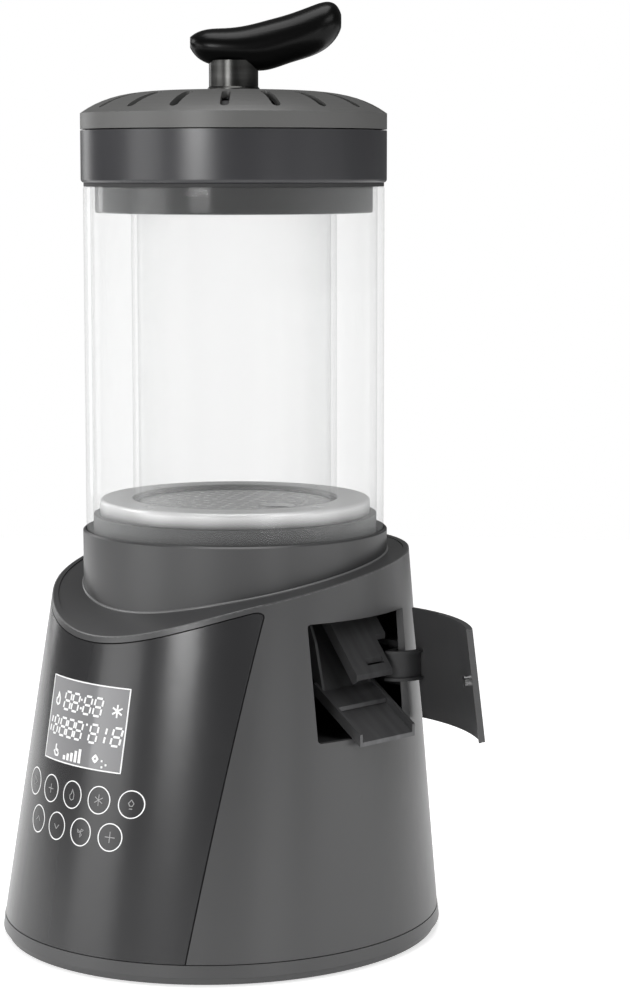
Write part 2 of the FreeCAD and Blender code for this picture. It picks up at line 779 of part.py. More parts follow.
duct_room = sideways(
    "DuctRoom",
    [
        (ramp_x - 1, f"{ramp_z} + 30"),
        (ramp_x - 1, f"{ramp_z} - 3.5"),
        (step_x, f"{step_z} - 4"),
        (step_x + 6, f"{step_z} + 60"),
    ],
    f"{duct_left} - 0.6",
    f"{duct_right} + 0.6",
)
plunger_way = doc.addObject("Part::Cylinder", "PlungerWay")
plunger_way.Radius = 2.4
plunger_way.Height = 60
plunger_way.Placement = FreeCAD.Placement(Vector(-60, 4, 164.5), Rotation(Vector(0, 1, 0), 90))
piece(cut("PlenumFunnel", funnel, group("FunnelCuts", [duct_room, plunger_way])), "plenum_funnel")

flap_left = -2.0
flap_right = 20.0
flap_x = 76.0
flap_z = 118.5
flap_rise = 1.28
flap_top_x = 54.5
flap_top_z = flap_z + (flap_x - flap_top_x) * flap_rise
flap = sideways(
    "Flap",
    [
        (flap_x, flap_z),
        (flap_x, flap_z + 2.4),
        (flap_top_x, flap_top_z + 2.4),
        (flap_top_x, flap_top_z),
    ],
    flap_left,
    flap_right,
)
flap_side = sideways(
    "FlapSide",
    [
        (flap_x, flap_z),
        (flap_top_x, flap_top_z),
        (flap_top_x - 2.2, flap_top_z - 1.7),
        (flap_x - 2.2, flap_z - 1.7),
    ],
    flap_left,
    flap_left + 1.2,
)
flap_slot = box("FlapSlot", (71.8, 7, flap_z - 5), (73.8, 17.5, flap_z + 20))
ear_x = 65.5
ear_z = flap_z + (flap_x - ear_x) * flap_rise
flap_ear = sideways(
    "FlapEar",
    [
        (ear_x, ear_z),
        (ear_x, ear_z + 2.4),
        (flap_top_x, flap_top_z + 2.4),
        (flap_top_x, flap_top_z),
    ],
    flap_right - 1,
    26.5,
)
flap_whole = fuse("FlapWhole", flap, flap_side, flap_ear)
piece(cut("DeflectorPlate", flap_whole, flap_slot), "deflector_plate")

tray_tip = 88.2
tray_end = 61.0
tray_lip_x = 83.5
tray_lip_z = f"{s('mouth_low')} + 0.4"
tray_wall = 5.2


def tray_line(x, rise=0.0):
    """A point on the tray's underside, or above it by a rise."""
    return (x, f"{tray_lip_z} + ({tray_lip_x} - {x}) * {slope} + {rise}")


tray_floor = sideways(
    "TrayFloor",
    [tray_line(tray_end), tray_line(tray_tip), tray_line(tray_tip, skin), tray_line(tray_end, skin)],
    s("tray_left"),
    s("tray_right"),
)
tray_sides = []
for tag, left in (("Left", s("tray_left")), ("Right", f"{s('tray_right')} - {s('sheet_wall')}")):
    side = sideways(
        "TraySide" + tag,
        [
            tray_line(tray_end),
            tray_line(tray_tip),
            tray_line(tray_tip, tray_wall),
            tray_line(tray_end, tray_wall),
        ],
        left,
        f"{left} + {s('sheet_wall')}",
    )
    tray_sides.append(side)
piece(fuse("ChuteTray", tray_floor, *tray_sides), "chute_tray")

frame_inner = envelope("FrameInner", f"{s('shell_wall')} + 0.3")
frame_left = "-" + s("mouth_half") + " - 1.2"
frame_side = box(
    "FrameSide",
    (50, f"{frame_left} - 1.6", s("mouth_low") + " - 3"),
    (90, frame_left, s("mouth_high") + " + 3"),
)
frame_floor = box(
    "FrameFloor",
    (50, f"{frame_left} - 1.6", s("mouth_low") + " - 3"),
    (90, 22, s("mouth_low") + " - 1.4"),
)
frame_roof = box(
    "FrameRoof",
    (64, f"{frame_left} - 1.6", s("mouth_high") + " + 1.4"),
    (90, 22, s("mouth_high") + " + 3"),
)
ribs = []
for i, height in enumerate((104, 116, 129)):
    ribs.append(box(f"Rib{i}", (56, f"{frame_left} - 0.5", height), (72, f"{frame_left} + 5", height + 1.6)))
latch_post = box("LatchPost", (67, f"{frame_left} - 0.5", 119), (71.8, f"{frame_left} + 3.5", 125))
frame_whole = fuse("FrameWhole", frame_side, frame_floor, frame_roof, latch_post, *ribs)
piece(common("ChuteFrame", frame_whole, frame_inner), "chute_frame")

# Bean gate and its solenoid

gate_plate = box("GatePlate", (8.5, -6.5, s("gate_level")), (31.5, 14.5, s("gate_level") + " + 1.8"))
gate_tab = box("GateTab", (8.5, 2, 162), (11.5, 6, s("gate_level") + " + 1.8"))
piece(fuse("BeanGate", gate_plate, gate_tab), "bean_gate")
plunger = doc.addObject("Part::Cylinder", "GatePlunger")
plunger.Radius = 1.6
plunger.Height = 52
plunger.Placement = FreeCAD.Placement(Vector(-43.5, 4, 164.5), Rotation(Vector(0, 1, 0), 90))
piece(plunger, "gate_plunger")
solenoid_body = box("SolenoidBody", (-58.5, -5, 156.5), (-40.5, 13, 172))
solenoid_bore = doc.addObject("Part::Cylinder", "SolenoidBore")
solenoid_bore.Radius = 1.6 + size("pin_play")
solenoid_bore.Height = 40
solenoid_bore.Placement = FreeCAD.Placement(Vector(-70, 4, 164.5), Rotation(Vector(0, 1, 0), 90))
piece(cut("GateSolenoid", solenoid_body, solenoid_bore), "gate_solenoid")

# Outlet door on its goose-neck arm, drawn closed and then turned open

pivot = (size("pivot_x"), size("pivot_y"))
door_block = box(
    "DoorBlock",
    (40, f"-{s('mouth_half')} + {s('door_gap')}", f"{s('mouth_low')} + {s('door_gap')}"),
    (100, 32, f"{s('mouth_high')} - {s('door_gap')}"),
)
door_field = softened("DoorField", door_block, 1.2)
door_skin = cut("DoorSkin", envelope("DoorFace"), envelope("DoorBack", s("door_wall")))
lip_skin = cut(
    "LipSkin", envelope("LipFace", s("door_wall") + " - 0.1"),
    envelope("LipBack", f"{s('door_wall')} + {s('door_lip')}")
)
lip_outer = box(
    "LipOuter",
    (40, f"-{s('mouth_half')} + {s('door_gap')}", f"{s('mouth_low')} + {s('door_gap')}"),
    (100, 10, f"{s('mouth_high')} - {s('door_gap')}"),
)
lip_inner = box(
    "LipInner",
    (30, f"-{s('mouth_half')} + {s('door_gap')} + 1.5", f"{s('mouth_low')} - 5"),
    (110, 30, f"{s('mouth_high')} - {s('door_gap')} - 1.4"),
)
door_lip = cut("DoorLip", common("LipBand", lip_skin, lip_outer), lip_inner)
door_skin_cut = common("DoorSkinCut", door_skin, door_field)
door_whole = fuse("DoorWhole", door_skin_cut, door_lip)
door_closed = cut("DoorClosed", door_whole, hinge_cone("DoorCone", 0.0))
magnet_y = -13.6
magnet_z = 120.5
magnet_x = envelope_at(magnet_z)[0] * math.sqrt(
    1 - ((magnet_y - envelope_at(magnet_z)[2]) / envelope_at(magnet_z)[1]) ** 2
)
magnet = doc.addObject("Part::Cylinder", "DoorMagnet")
magnet.Radius = 2.4
magnet.Height = 1.6
half_x, half_y, centre = envelope_at(magnet_z)
lean = (size("foot_x") - size("shoulder_radius")) / (size("shoulder") - size("seam"))
outward = Vector(magnet_x / half_x**2, (magnet_y - centre) / half_y**2, lean / half_x).normalize()
magnet_base = Vector(magnet_x, magnet_y, magnet_z) - outward * (size("door_wall") + 1.65)
magnet.Placement = FreeCAD.Placement(magnet_base, Rotation(UP, outward))


def sector(name, radius, low, high, start, sweep):
    """A wedge of a cylinder about the hinge pin."""
    thing = doc.addObject("Part::Cylinder", name)
    bind(thing, Radius=radius, Height=f"({high}) - ({low})", Angle=sweep)
    thing.Placement = FreeCAD.Placement(Vector(), Rotation(UP, start))
    return place(thing, s("pivot_x"), s("pivot_y"), low)


web_angle = -141.5
neck_sweep = 93.0
flange = 1.3
neck = sector("Neck", s("arm_outer"), s("arm_low"), s("arm_high"), web_angle, neck_sweep)
flange_low = sector(
    "FlangeLow", s("arm_flange"), s("arm_low"), f"{s('arm_low')} + {flange}", web_angle, neck_sweep
)
flange_high = sector(
    "FlangeHigh", s("arm_flange"), f"{s('arm_high')} - {flange}", s("arm_high"), web_angle, neck_sweep
)
hollow = sector(
    "NeckHollow", s("arm_inner"), f"{s('arm_low')} - 1", f"{s('arm_high')} + 1", web_angle - 5,
    neck_sweep + 10
)
neck_ring = cut("NeckRing", fuse("NeckSolid", neck, flange_low, flange_high), hollow)
web = doc.addObject("Part::Box", "Web")
web_half = 1.3
bind(web, Length=s("arm_inner") + " + 0.8", Width=2 * web_half)
bind(web, Height=f"{s('arm_high')} - {s('arm_low')}")
web_turn = Rotation(UP, web_angle)
web.Placement = FreeCAD.Placement(Vector(), web_turn)
place(web, s("pivot_x"), s("pivot_y"), s("arm_low"))
barrel = cylinder(
    "Barrel", s("pin_radius") + " + 0.85", f"{s('arm_high')} - {s('arm_low')}",
    s("pivot_x"), s("pivot_y"), s("arm_low")
)
barrel_bore = cylinder(
    "BarrelBore", f"{s('pin_radius')} + {s('pin_play')}", 40, s("pivot_x"), s("pivot_y"), 100
)
arm_solid = cut("ArmSolid", fuse("ArmWhole", neck_ring, web, barrel), barrel_bore)
arm_trim = cut("ArmTrim", arm_solid, door_closed)
arm_limit = envelope("ArmLimit", s("door_wall"))
arm_closed = common("ArmClosed", arm_trim, arm_limit)
for thing, label in ((door_closed, "door_panel"), (arm_closed, "door_arm"), (magnet, "door_magnet")):
    turned(thing, size("door_open"), *pivot)
    piece(thing, label)

pin_low = f"{s('arm_low')} - 3"
pin_high = f"{s('arm_high')} + 3"
pin = cylinder("HingePin", s("pin_radius"), f"{pin_high} - ({pin_low})", *pivot, pin_low)
piece(pin, "hinge_pin")
lugs = []
for i, (low, high) in enumerate(
    ((pin_low, f"{s('arm_low')} - 0.4"), (f"{s('arm_high')} + 0.4", pin_high))
):
    lugs.append(box(f"Lug{i}", (58, 31, low), (72, 46, high)))
bracket_back = box("BracketBack", (56, 38.5, pin_low), (59.5, 50, pin_high))
bracket_foot = box("BracketFoot", (56, 46, pin_low), (72, 50, pin_high))
bracket_whole = fuse("BracketWhole", *lugs, bracket_back, bracket_foot)
bracket_bore = cylinder("BracketBore", s("pin_radius"), 60, *pivot, 90)
bracket_cut = cut("BracketCut", bracket_whole, bracket_bore)
bracket_limit = envelope("BracketLimit", s("shell_wall") + " + 0.05")
piece(common("HingeBracket", bracket_cut, bracket_limit), "hinge_bracket")

# Power electronics and cord gland

piece(box("PowerBoard", (-62, -26, 28), (-60.4, 26, 92)), "power_board")
piece(box("Transformer", (-60.2, -20, 34), (-46.5, 6, 58)), "transformer")
relay_pair = [
    box("RelayA", (-60.2, -20, 66), (-48, -8, 82)),
    box("RelayB", (-60.2, -4, 66), (-48, 8, 82)),
]
piece(group("Relays", relay_pair), "relays")
gland = doc.addObject("Part::Cylinder", "GlandStem")
gland_flange = doc.addObject("Part::Cylinder", "GlandFlange")
gland_bore = doc.addObject("Part::Cylinder", "GlandBore")
shell_back = envelope_at(size("gland_height"))
gland_y = shell_back[2] + shell_back[1]
for thing, radius, start, end in (
    (gland, size("gland_bore") + 3.4, -12.0, 2.0),
    (gland_flange, size("gland_bore") + 5.0, 0.9, 3.6),
    (gland_bore, size("gland_bore"), -20.0, 20.0),
):
    thing.Radius = radius
    thing.Height = end - start
    thing.Placement = FreeCAD.Placement(
        Vector(0, gland_y + start, size("gland_height")), Rotation(Vector(1, 0, 0), -90)
    )
gland_solid = cut("GlandSolid", fuse("GlandWhole", gland, gland_flange), gland_bore)
piece(gland_solid, "cord_gland")

# Roasting chamber that lifts off: floor, seals and glasses

rim_inner = 38.0
chamber_base = revolved(
    "ChamberBase",
    [
        (rim_inner, s("floor_under") + " + 3.1"),
        (rim_inner, s("floor_under")),
        (54.4, s("floor_under")),
        (54.4, 178),
        (57, 178),
        (57, s("floor_under")),
        (s("floor_radius"), s("floor_under")),
        (s("floor_radius"), s("floor_top")),
        (s("chamber_radius") + " + 0.5", s("floor_top")),
        (s("chamber_radius") + " + 0.5", s("floor_top") + " - 2.2"),
        (s("chamber_radius") + " - 3", s("floor_top") + " - 2.2"),
        (s("chamber_radius") + " - 3", s("floor_under") + " + 3.1"),
    ],
)
rounded(chamber_base, 1.6, circle_at(size("floor_radius"), size("floor_top")))
rim_slots = []
for i in range(4):
    slot = box(f"RimSlot{i}", (49, -2.4, size("floor_top") - 1.4), (52.4, 2.4, size("floor_top") + 5))
    rim_slots.append(swung(slot, 90 * i))
piece(cut("ChamberFloorRim", chamber_base, group("RimSlots", rim_slots)), "chamber_base")
chamber_seal = ring("ChamberSeal", 57.1, s("glass_radius") + " - " + s("glass_wall") + " - 0.2",
                    s("glass_bottom"), s("floor_under") + " - 0.1")
piece(chamber_seal, "chamber_seal")
air_disc = cylinder("AirDisc", f"{s('chamber_radius')} - 3.1", 1.4, 0, 0, s("floor_under") + " + 3.1")
holes = []
port_x = 22.0
port_y = 4.0
port_r = 8.0
for ring_radius, count in ((7, 6), (13, 12), (19, 18), (25, 24), (31, 30), (36.5, 36)):
    for k in range(count):
        angle = math.tau * k / count
        x = ring_radius * math.cos(angle)
        y = ring_radius * math.sin(angle)
        if math.hypot(x - port_x, y - port_y) < port_r + 2.6:
            continue
        holes.append(cylinder(f"AirHole{len(holes)}", 1.2, 6, x, y, 184))
holes.append(cylinder("BeanPort", port_r, 6, port_x, port_y, 184))
piece(cut("AirPlate", air_disc, group("AirHoles", holes)), "air_plate")
seal_in = f"{s('chamber_radius')} - {s('chamber_wall')}"
lower_seal = ring("LowerSeal", seal_in, f"{s('chamber_radius')} + 0.4",
                  s("floor_top") + " - 2.2", s("floor_top") + " - 1.2")
piece(lower_seal, "inner_seal_lower")
inner_glass = ring("InnerGlass", seal_in, s("chamber_radius"), s("floor_top") + " - 1.2", s("chamber_top"))
piece(inner_glass, "inner_glass")
upper_seal = ring("UpperSeal", seal_in, s("chamber_radius"), s("chamber_top"), s("chamber_top") + " + 1.4")
piece(upper_seal, "inner_seal_upper")
glass_in = f"{s('glass_radius')} - {s('glass_wall')}"
outer_glass = ring("OuterGlass", glass_in, s("glass_radius"), s("glass_bottom"), s("glass_top"))
rounded(outer_glass, 0.8, circle_at(size("glass_radius"), size("glass_top")))
piece(outer_glass, "outer_glass")

# Lid: ring, steel plug, chaff cup, screen and gasket

lid_wall = 3.0
lid_ring = revolved(
    "LidRing",
    [
        (s("plug_radius") + " + 0.2", s("lid_bottom")),
        (s("lid_radius"), s("lid_bottom")),
        (s("lid_radius"), s("lid_seam") + " - 0.25"),
        (f"{s('lid_radius')} - {lid_wall}", s("lid_seam") + " - 0.25"),
        (f"{s('lid_radius')} - {lid_wall}", s("lid_bottom") + " + 3"),
        (s("plug_radius") + " + 0.2", s("lid_bottom") + " + 3"),
    ],
)
rounded(lid_ring, 1.6, circle_at(size("lid_radius"), size("lid_bottom")))
piece(lid_ring, "lid_ring")
guide = f"{s('chamber_radius')} + 0.8"
plug = revolved(
    "CollectorPlug",
    [
        (guide, s("plug_bottom")),
        (s("plug_radius"), s("plug_bottom")),
        (s("plug_radius"), s("lid_bottom") + " + 3.1"),
        (f"{s('plug_radius')} + 2.4", s("lid_bottom") + " + 3.1"),
        (f"{s('plug_radius')} + 2.4", s("lid_bottom") + " + 4.1"),
        (f"{s('plug_radius')} - 1", s("lid_bottom") + " + 4.1"),
        (f"{s('plug_radius')} - 1", f"{s('plug_bottom')} + 1"),
        (f"{guide} + 1", f"{s('plug_bottom')} + 1"),
        (f"{guide} + 1", f"{s('plug_bottom')} + 8"),
        (guide, f"{s('plug_bottom')} + 8"),
    ],
)
rounded(plug, 0.9, circle_at(size("plug_radius"), size("plug_bottom")))
piece(plug, "collector_plug")
lid_gasket = ring("LidGasket", s("glass_radius") + " - 3.4", s("glass_radius") + " - 0.2",
                  s("glass_top") + " + 0.05", s("lid_bottom") + " - 0.05")
piece(lid_gasket, "lid_gasket")
cup_low = f"{s('lid_bottom')} + 4.3"
riser = 27.0
chaff_cup = revolved(
    "ChaffCup",
    [
        (riser, cup_low),
        (59, cup_low),
        (59, s("lid_seam") + " - 2"),
        (58, s("lid_seam") + " - 2"),
        (58, f"{cup_low} + 1"),
        (riser + 1, f"{cup_low} + 1"),
        (riser + 1, s("lid_seam") + " - 6"),
        (riser, s("lid_seam") + " - 6"),
    ],
)
piece(chaff_cup, "chaff_cup")
screen_disc = cylinder("ScreenDisc", 43.5, 0.8, 0, 0, s("chamber_top") + " + 3")
screen_rim = ring("ScreenRim", 43.0, 45.0, s("chamber_top") + " + 1.5", s("chamber_top") + " + 4.4")
screen_holes = []
for ring_radius, count in ((6, 6), (12, 12), (18, 18), (24, 24), (30, 30), (36, 36)):
    for k in range(count):
        angle = math.tau * (k + 0.5) / count
        x = ring_radius * math.cos(angle)
        y = ring_radius * math.sin(angle)
        screen_holes.append(
            cylinder(f"ScreenHole{len(screen_holes)}", 1.6, 4, x, y, s("chamber_top") + " + 1")
        )
screen = cut("ChaffScreenDisc", screen_disc, group("ScreenHoles", screen_holes))
piece(fuse("ChaffScreen", screen, screen_rim), "chaff_screen")

# Cap: dome with radial slots, mesh, post and grip


dome_steps = 16
dome_crowding = 1.4
dome_crown = 0.6
dome_shoulder = 9.4


def dome(name, drop, edge, foot):
    """The cap's outside, or its inside when dropped by the wall."""
    body = doc.addObject("PartDesign::Body", name)
    points = [(0, foot), (edge, foot)]
    for i in range(dome_steps + 1):
        share = 1 - (i / dome_steps) ** dome_crowding
        rise = dome_crown * (1 - share**2) + dome_shoulder * (1 - share**5)
        points.append((f"({edge}) * {share:.4f}", f"{s('cap_edge')} + {rise:.3f} - {drop}"))
    sketch = outline(body, name + "Outline", "XZ_Plane", points)
    turn = body.newObject("PartDesign::Revolution", name + "Turn")
    turn.Profile = sketch
    turn.ReferenceAxis = (sketch, ["V_Axis"])
    turn.Angle = 360
    return body


cap_outer = dome("CapOuter", 0, s("lid_radius"), s("lid_seam") + " + 0.25")
cap_inner = dome("CapInner", s("cap_wall"), f"{s('lid_radius')} - {lid_wall}", s("lid_seam") + " - 1")
slots = []
for i in range(int(size("slot_count"))):
    slot = box(
        f"Slot{i}",
        (s("slot_inner"), f"-{s('slot_width')} / 2", s("cap_edge") + " - 4"),
        (s("slot_outer"), f"{s('slot_width')} / 2", s("cap_edge") + " + 20"),
    )
    inner_end = cylinder(f"SlotInner{i}", f"{s('slot_width')} / 2", 24, s("slot_inner"), 0,
                         s("cap_edge") + " - 4")
    outer_end = cylinder(f"SlotOuter{i}", f"{s('slot_width')} / 2", 24, s("slot_outer"), 0,
                         s("cap_edge") + " - 4")
    whole = fuse(f"SlotWhole{i}", slot, inner_end, outer_end)
    slots.append(turned(whole, 360 / size("slot_count") * i + size("slot_turn")))
screw_bore = cylinder("ScrewBore", 2.2, 30, 0, 0, s("cap_edge") + " - 5")
cap_cuts = group("CapCuts", slots + [screw_bore])
cap_shell = cut("CapShell", cap_outer, cap_inner)
piece(cut("LidCap", cap_shell, cap_cuts), "lid_cap")
mesh = revolved(
    "VentMesh",
    [
        (s("slot_inner") + " - 6", s("cap_edge") + " + 4.6"),
        (s("slot_inner") + " + 2", s("cap_edge") + " + 3.6"),
        (s("slot_outer") + " - 0.5", s("cap_edge") + " - 2.6"),
        (s("slot_outer") + " - 0.5", s("cap_edge") + " - 2.1"),
        (s("slot_inner") + " + 2.2", s("cap_edge") + " + 4.1"),
        (s("slot_inner") + " - 6", s("cap_edge") + " + 5.1"),
    ],
)
piece(mesh, "vent_mesh")

post = revolved(
    "HandlePost",
    [
        (2.2, s("cap_edge") + " + 10.0"),
        (11.2, s("cap_edge") + " + 10.0"),
        (11.2, s("cap_edge") + " + 10.7"),
        (s("post_radius"), s("cap_edge") + " + 11.4"),
        (s("post_radius"), s("post_top")),
        (2.2, s("post_top")),
    ],
)
piece(post, "handle_post")


def grip_section(name, along, low, high, half_width):
    """An oval section of the grip, upright across its length."""
    ellipse = doc.addObject("Part::Ellipse", name)
    half_height = (high - low) / 2
    wide = half_width >= half_height
    ellipse.MajorRadius = max(half_width, half_height)
    ellipse.MinorRadius = min(half_width, half_height)
    basis = Rotation(Vector(0, 1, 0), Vector(0, 0, 1), Vector(1, 0, 0), "ZXY")
    lying = basis if wide else basis.multiply(Rotation(UP, 90))
    ellipse.Placement = FreeCAD.Placement(Vector(along, 0, (low + high) / 2), lying)
    return ellipse


# Along the grip from its short end: place, underside, top and half width
GRIP = [
    (-18.6, 384.0, 388.6, 3.2),
    (-16.6, 381.0, 390.0, 6.4),
    (-11.5, 377.6, 391.8, 9.2),
    (-3.0, 376.0, 392.4, 10.8),
    (6.0, 374.6, 393.6, 11.4),
    (14.0, 374.6, 395.6, 11.6),
    (24.0, 377.6, 398.4, 11.6),
    (34.0, 380.8, 402.0, 11.2),
    (40.5, 384.4, 403.6, 9.8),
    (44.6, 389.0, 401.6, 6.6),
    (46.2, 392.6, 398.4, 3.0),
]
sections = [grip_section(f"GripOval{i}", *row) for i, row in enumerate(GRIP)]
grip_loft = doc.addObject("Part::Loft", "GripLoft")
grip_loft.Sections = sections
grip_loft.Solid = True
grip_loft.Ruled = False
seam_points = [(-30, 388.0), (-12, 387.6), (4, 388.8), (18, 391.2), (32, 394.4), (60, 401.0)]
seam_top = [(60, 420), (-30, 420)]
upper_space = sideways("UpperSpace", seam_points + seam_top, -30, 30)
post_socket = cylinder("PostSocket", s("post_radius") + " + 0.05", 20, 0, 0, s("post_top") + " - 20")
screw_room = cylinder("ScrewRoom", 2.2, 14, 0, 0, s("post_top") + " - 10")
head_room = cylinder("HeadRoom", 4.4, 3.6, 0, 0, s("post_top") + " + 3")
grip_bored = cut("GripBored", grip_loft, fuse("GripRoom", post_socket, screw_room, head_room))
grip_lower = cut("GripLower", grip_bored, upper_space)
grip_upper = common("GripUpper", grip_bored, upper_space)
for thing, label in ((grip_lower, "grip_lower"), (grip_upper, "grip_upper")):
    turned(thing, size("grip_turn"))
    piece(thing, label)
handle_screw = revolved(
    "HandleScrew",
    [
        (0, s("cap_edge") + " + 4"),
        (2.1, s("cap_edge") + " + 4"),
        (2.1, s("post_top") + " + 3.1"),
        (4.2, s("post_top") + " + 3.1"),
        (4.2, s("post_top") + " + 6"),
        (0, s("post_top") + " + 6"),
    ],
)
piece(handle_screw, "handle_screw")
nut = cylinder("HandleNut", 5.0, 3.0, 0, 0, s("cap_edge") + " + 4.2")
nut_bore = cylinder("NutBore", 2.1, 6, 0, 0, s("cap_edge") + " + 3")
piece(cut("CapNut", nut, nut_bore), "cap_nut")


def check_and_write():
    """Stops on any failed object or bad shape, then writes one file for each piece."""
    doc.recompute()
    failed = [o.Name for o in doc.Objects if "Invalid" in o.State or "Error" in o.State]
    if failed:
        raise RuntimeError(f"failed objects: {failed}")
    for thing in pieces:
        shape = thing.Shape
        if shape.isNull() or not shape.isValid() or not shape.Solids:
            raise RuntimeError(f"{thing.Label} has no valid solid")
    os.makedirs("parts", exist_ok=True)
    for thing in pieces:
        thing.Shape.exportStep(f"parts/{thing.Label}.step")
        print(f"{thing.Label}: {len(thing.Shape.Solids)} solids, {thing.Shape.Volume:.0f} mm3")


check_and_write()
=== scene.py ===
# %% [markdown]
# # A countertop coffee roaster with a glass chamber
# The engineering model of the roaster is loaded first. It is already at its real size and in its
# real place, so nothing in this lesson scales or shifts it. This lesson dresses it: finishes for
# every part, the printing on the panel, and the small rounded edges that catch the light.

import math

import bpy
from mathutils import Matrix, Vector


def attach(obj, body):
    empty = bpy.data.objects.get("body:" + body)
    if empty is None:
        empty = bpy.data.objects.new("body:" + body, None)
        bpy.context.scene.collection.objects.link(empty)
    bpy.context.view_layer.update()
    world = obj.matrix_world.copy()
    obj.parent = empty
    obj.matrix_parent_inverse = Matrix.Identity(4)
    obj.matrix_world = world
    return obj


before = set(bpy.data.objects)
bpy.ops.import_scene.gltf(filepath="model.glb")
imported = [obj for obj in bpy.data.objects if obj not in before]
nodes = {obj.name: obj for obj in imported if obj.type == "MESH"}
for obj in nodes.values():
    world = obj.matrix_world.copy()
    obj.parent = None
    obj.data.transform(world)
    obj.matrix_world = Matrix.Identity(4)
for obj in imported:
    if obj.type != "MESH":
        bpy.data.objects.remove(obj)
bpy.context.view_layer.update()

# %% [markdown]
# ## The camera
# The photograph was taken from a little above the deck, half way between the panel and the bean
# outlet. The camera stands on a circle round the glass chamber and looks slightly down. A long
# lens keeps the sides of the glass almost parallel, as they are in the photograph.

# %% Place the camera
MM = 0.001
round_angle = math.radians(46.56)
distance = 1154.6 * MM
height = 332.99 * MM
camera_data = bpy.data.cameras.new("studio_camera")
camera_data.lens = 95.53
camera_data.sensor_width = 36.0
camera_data.clip_start = 0.05
camera = bpy.data.objects.new("studio_camera", camera_data)
bpy.context.scene.collection.objects.link(camera)
camera.location = (distance * math.sin(round_angle), -distance * math.cos(round_angle), height)
camera.rotation_euler = (math.radians(90 - 7.137), 0, round_angle - math.radians(1.736))
bpy.context.scene.camera = camera
print("camera at", [round(c, 3) for c in camera.location])

# %% [markdown]
# ## The floor and the light
# A round pale floor lies under the roaster, and a white sky stands behind it. The sky is bright
# only for rays that reach it without a bounce, so it whitens the background and not the parts.
# Soft panels of light stand left, right and above. Each one shows as an upright band on the
# satin curves, and the gap between two of them as a darker band.

# %% Lay the floor
world = bpy.data.worlds.new("pale_room")
bpy.context.scene.world = world
world.use_nodes = True
room = world.node_tree
dim_sky = room.nodes["Background"]
dim_sky.inputs["Color"].default_value = (1.0, 1.0, 1.0, 1.0)
dim_sky.inputs["Strength"].default_value = 0.11
bright_sky = room.nodes.new("ShaderNodeBackground")
bright_sky.inputs["Color"].default_value = (1.0, 1.0, 1.0, 1.0)
bright_sky.inputs["Strength"].default_value = 1.0
seen = room.nodes.new("ShaderNodeLightPath")
either = room.nodes.new("ShaderNodeMath")
either.operation = "MAXIMUM"
choose = room.nodes.new("ShaderNodeMixShader")
bounces = room.nodes.new("ShaderNodeMath")
bounces.operation = "ADD"
straight = room.nodes.new("ShaderNodeMath")
straight.operation = "LESS_THAN"
straight.inputs[1].default_value = 0.5
both = room.nodes.new("ShaderNodeMath")
both.operation = "MULTIPLY"
room.links.new(seen.outputs["Diffuse Depth"], bounces.inputs[0])
room.links.new(seen.outputs["Glossy Depth"], bounces.inputs[1])
room.links.new(bounces.outputs["Value"], straight.inputs[0])
room.links.new(seen.outputs["Is Camera Ray"], either.inputs[0])
room.links.new(seen.outputs["Is Transmission Ray"], either.inputs[1])
room.links.new(either.outputs["Value"], both.inputs[0])
room.links.new(straight.outputs["Value"], both.inputs[1])
room.links.new(both.outputs["Value"], choose.inputs["Fac"])
room.links.new(dim_sky.outputs["Background"], choose.inputs[1])
room.links.new(bright_sky.outputs["Background"], choose.inputs[2])
room.links.new(choose.outputs["Shader"], room.nodes["World Output"].inputs["Surface"])
bpy.context.scene.view_settings.view_transform = "Standard"

floor_mesh = bpy.data.meshes.new("floor")
floor_radius = 1.25
spokes = 96
rim = [math.tau * i / spokes for i in range(spokes)]
floor_mesh.from_pydata(
    [(floor_radius * math.cos(a), floor_radius * math.sin(a), 0) for a in rim],
    [],
    [tuple(range(spokes))],
)
floor = bpy.data.objects.new("floor", floor_mesh)
bpy.context.scene.collection.objects.link(floor)
print("floor is", 2 * floor_radius, "m wide")

# %% Hang the soft lights


def soft_light(name, place, aim, width, tall, power):
    """A rectangular light that faces a point."""
    data = bpy.data.lights.new(name, "AREA")
    data.shape = "RECTANGLE"
    data.size = width
    data.size_y = tall
    data.energy = power
    lamp = bpy.data.objects.new(name, data)
    bpy.context.scene.collection.objects.link(lamp)
    lamp.location = place
    lamp.rotation_euler = (Vector(aim) - Vector(place)).to_track_quat("-Z", "Y").to_euler()
    return lamp


middle = (0, 0, 0.2)


def stand_at(turn, reach, up):
    """A place round the roaster: degrees to the right of the camera, distance and height."""
    angle = round_angle + math.radians(turn)
    return (reach * math.sin(angle), -reach * math.cos(angle), up)


soft_light("key_strip", stand_at(-27, 1.4, 0.46), (0, 0, 0.42), 0.40, 0.30, 6.4)
soft_light("left_wall", stand_at(-68, 1.5, 0.30), (0, 0, 0.3), 0.75, 0.56, 4.0)
soft_light("left_high", stand_at(-100, 1.4, 0.85), middle, 0.7, 0.6, 7)
soft_light("back_left_strip", stand_at(-142, 1.4, 0.5), middle, 0.3, 1.0, 2.2)
soft_light("right_low_near", stand_at(28, 1.35, 0.11), (0, 0, 0.11), 0.42, 0.22, 0.75)
soft_light("right_low_side", stand_at(70, 1.35, 0.11), (0, 0, 0.11), 1.1, 0.22, 1.6)
soft_light("right_low_back", stand_at(118, 1.35, 0.11), (0, 0, 0.11), 1.0, 0.22, 0.5)
soft_light("right_high", stand_at(50, 1.4, 0.95), middle, 0.9, 0.6, 5)
soft_light("ceiling_panel", (0.1, -0.1, 1.9), middle, 1.2, 1.2, 22)

# %% [markdown]
# ## Finishes
# Each finish is a small node tree on the Principled shader. Moulded plastic gets a very fine
# grain, because a mould is spark-eroded and never mirror smooth. Metal gets long brush marks or a
# faint cloud of wear. The helper below builds the part that all of them share.

# %% A helper for node-built finishes


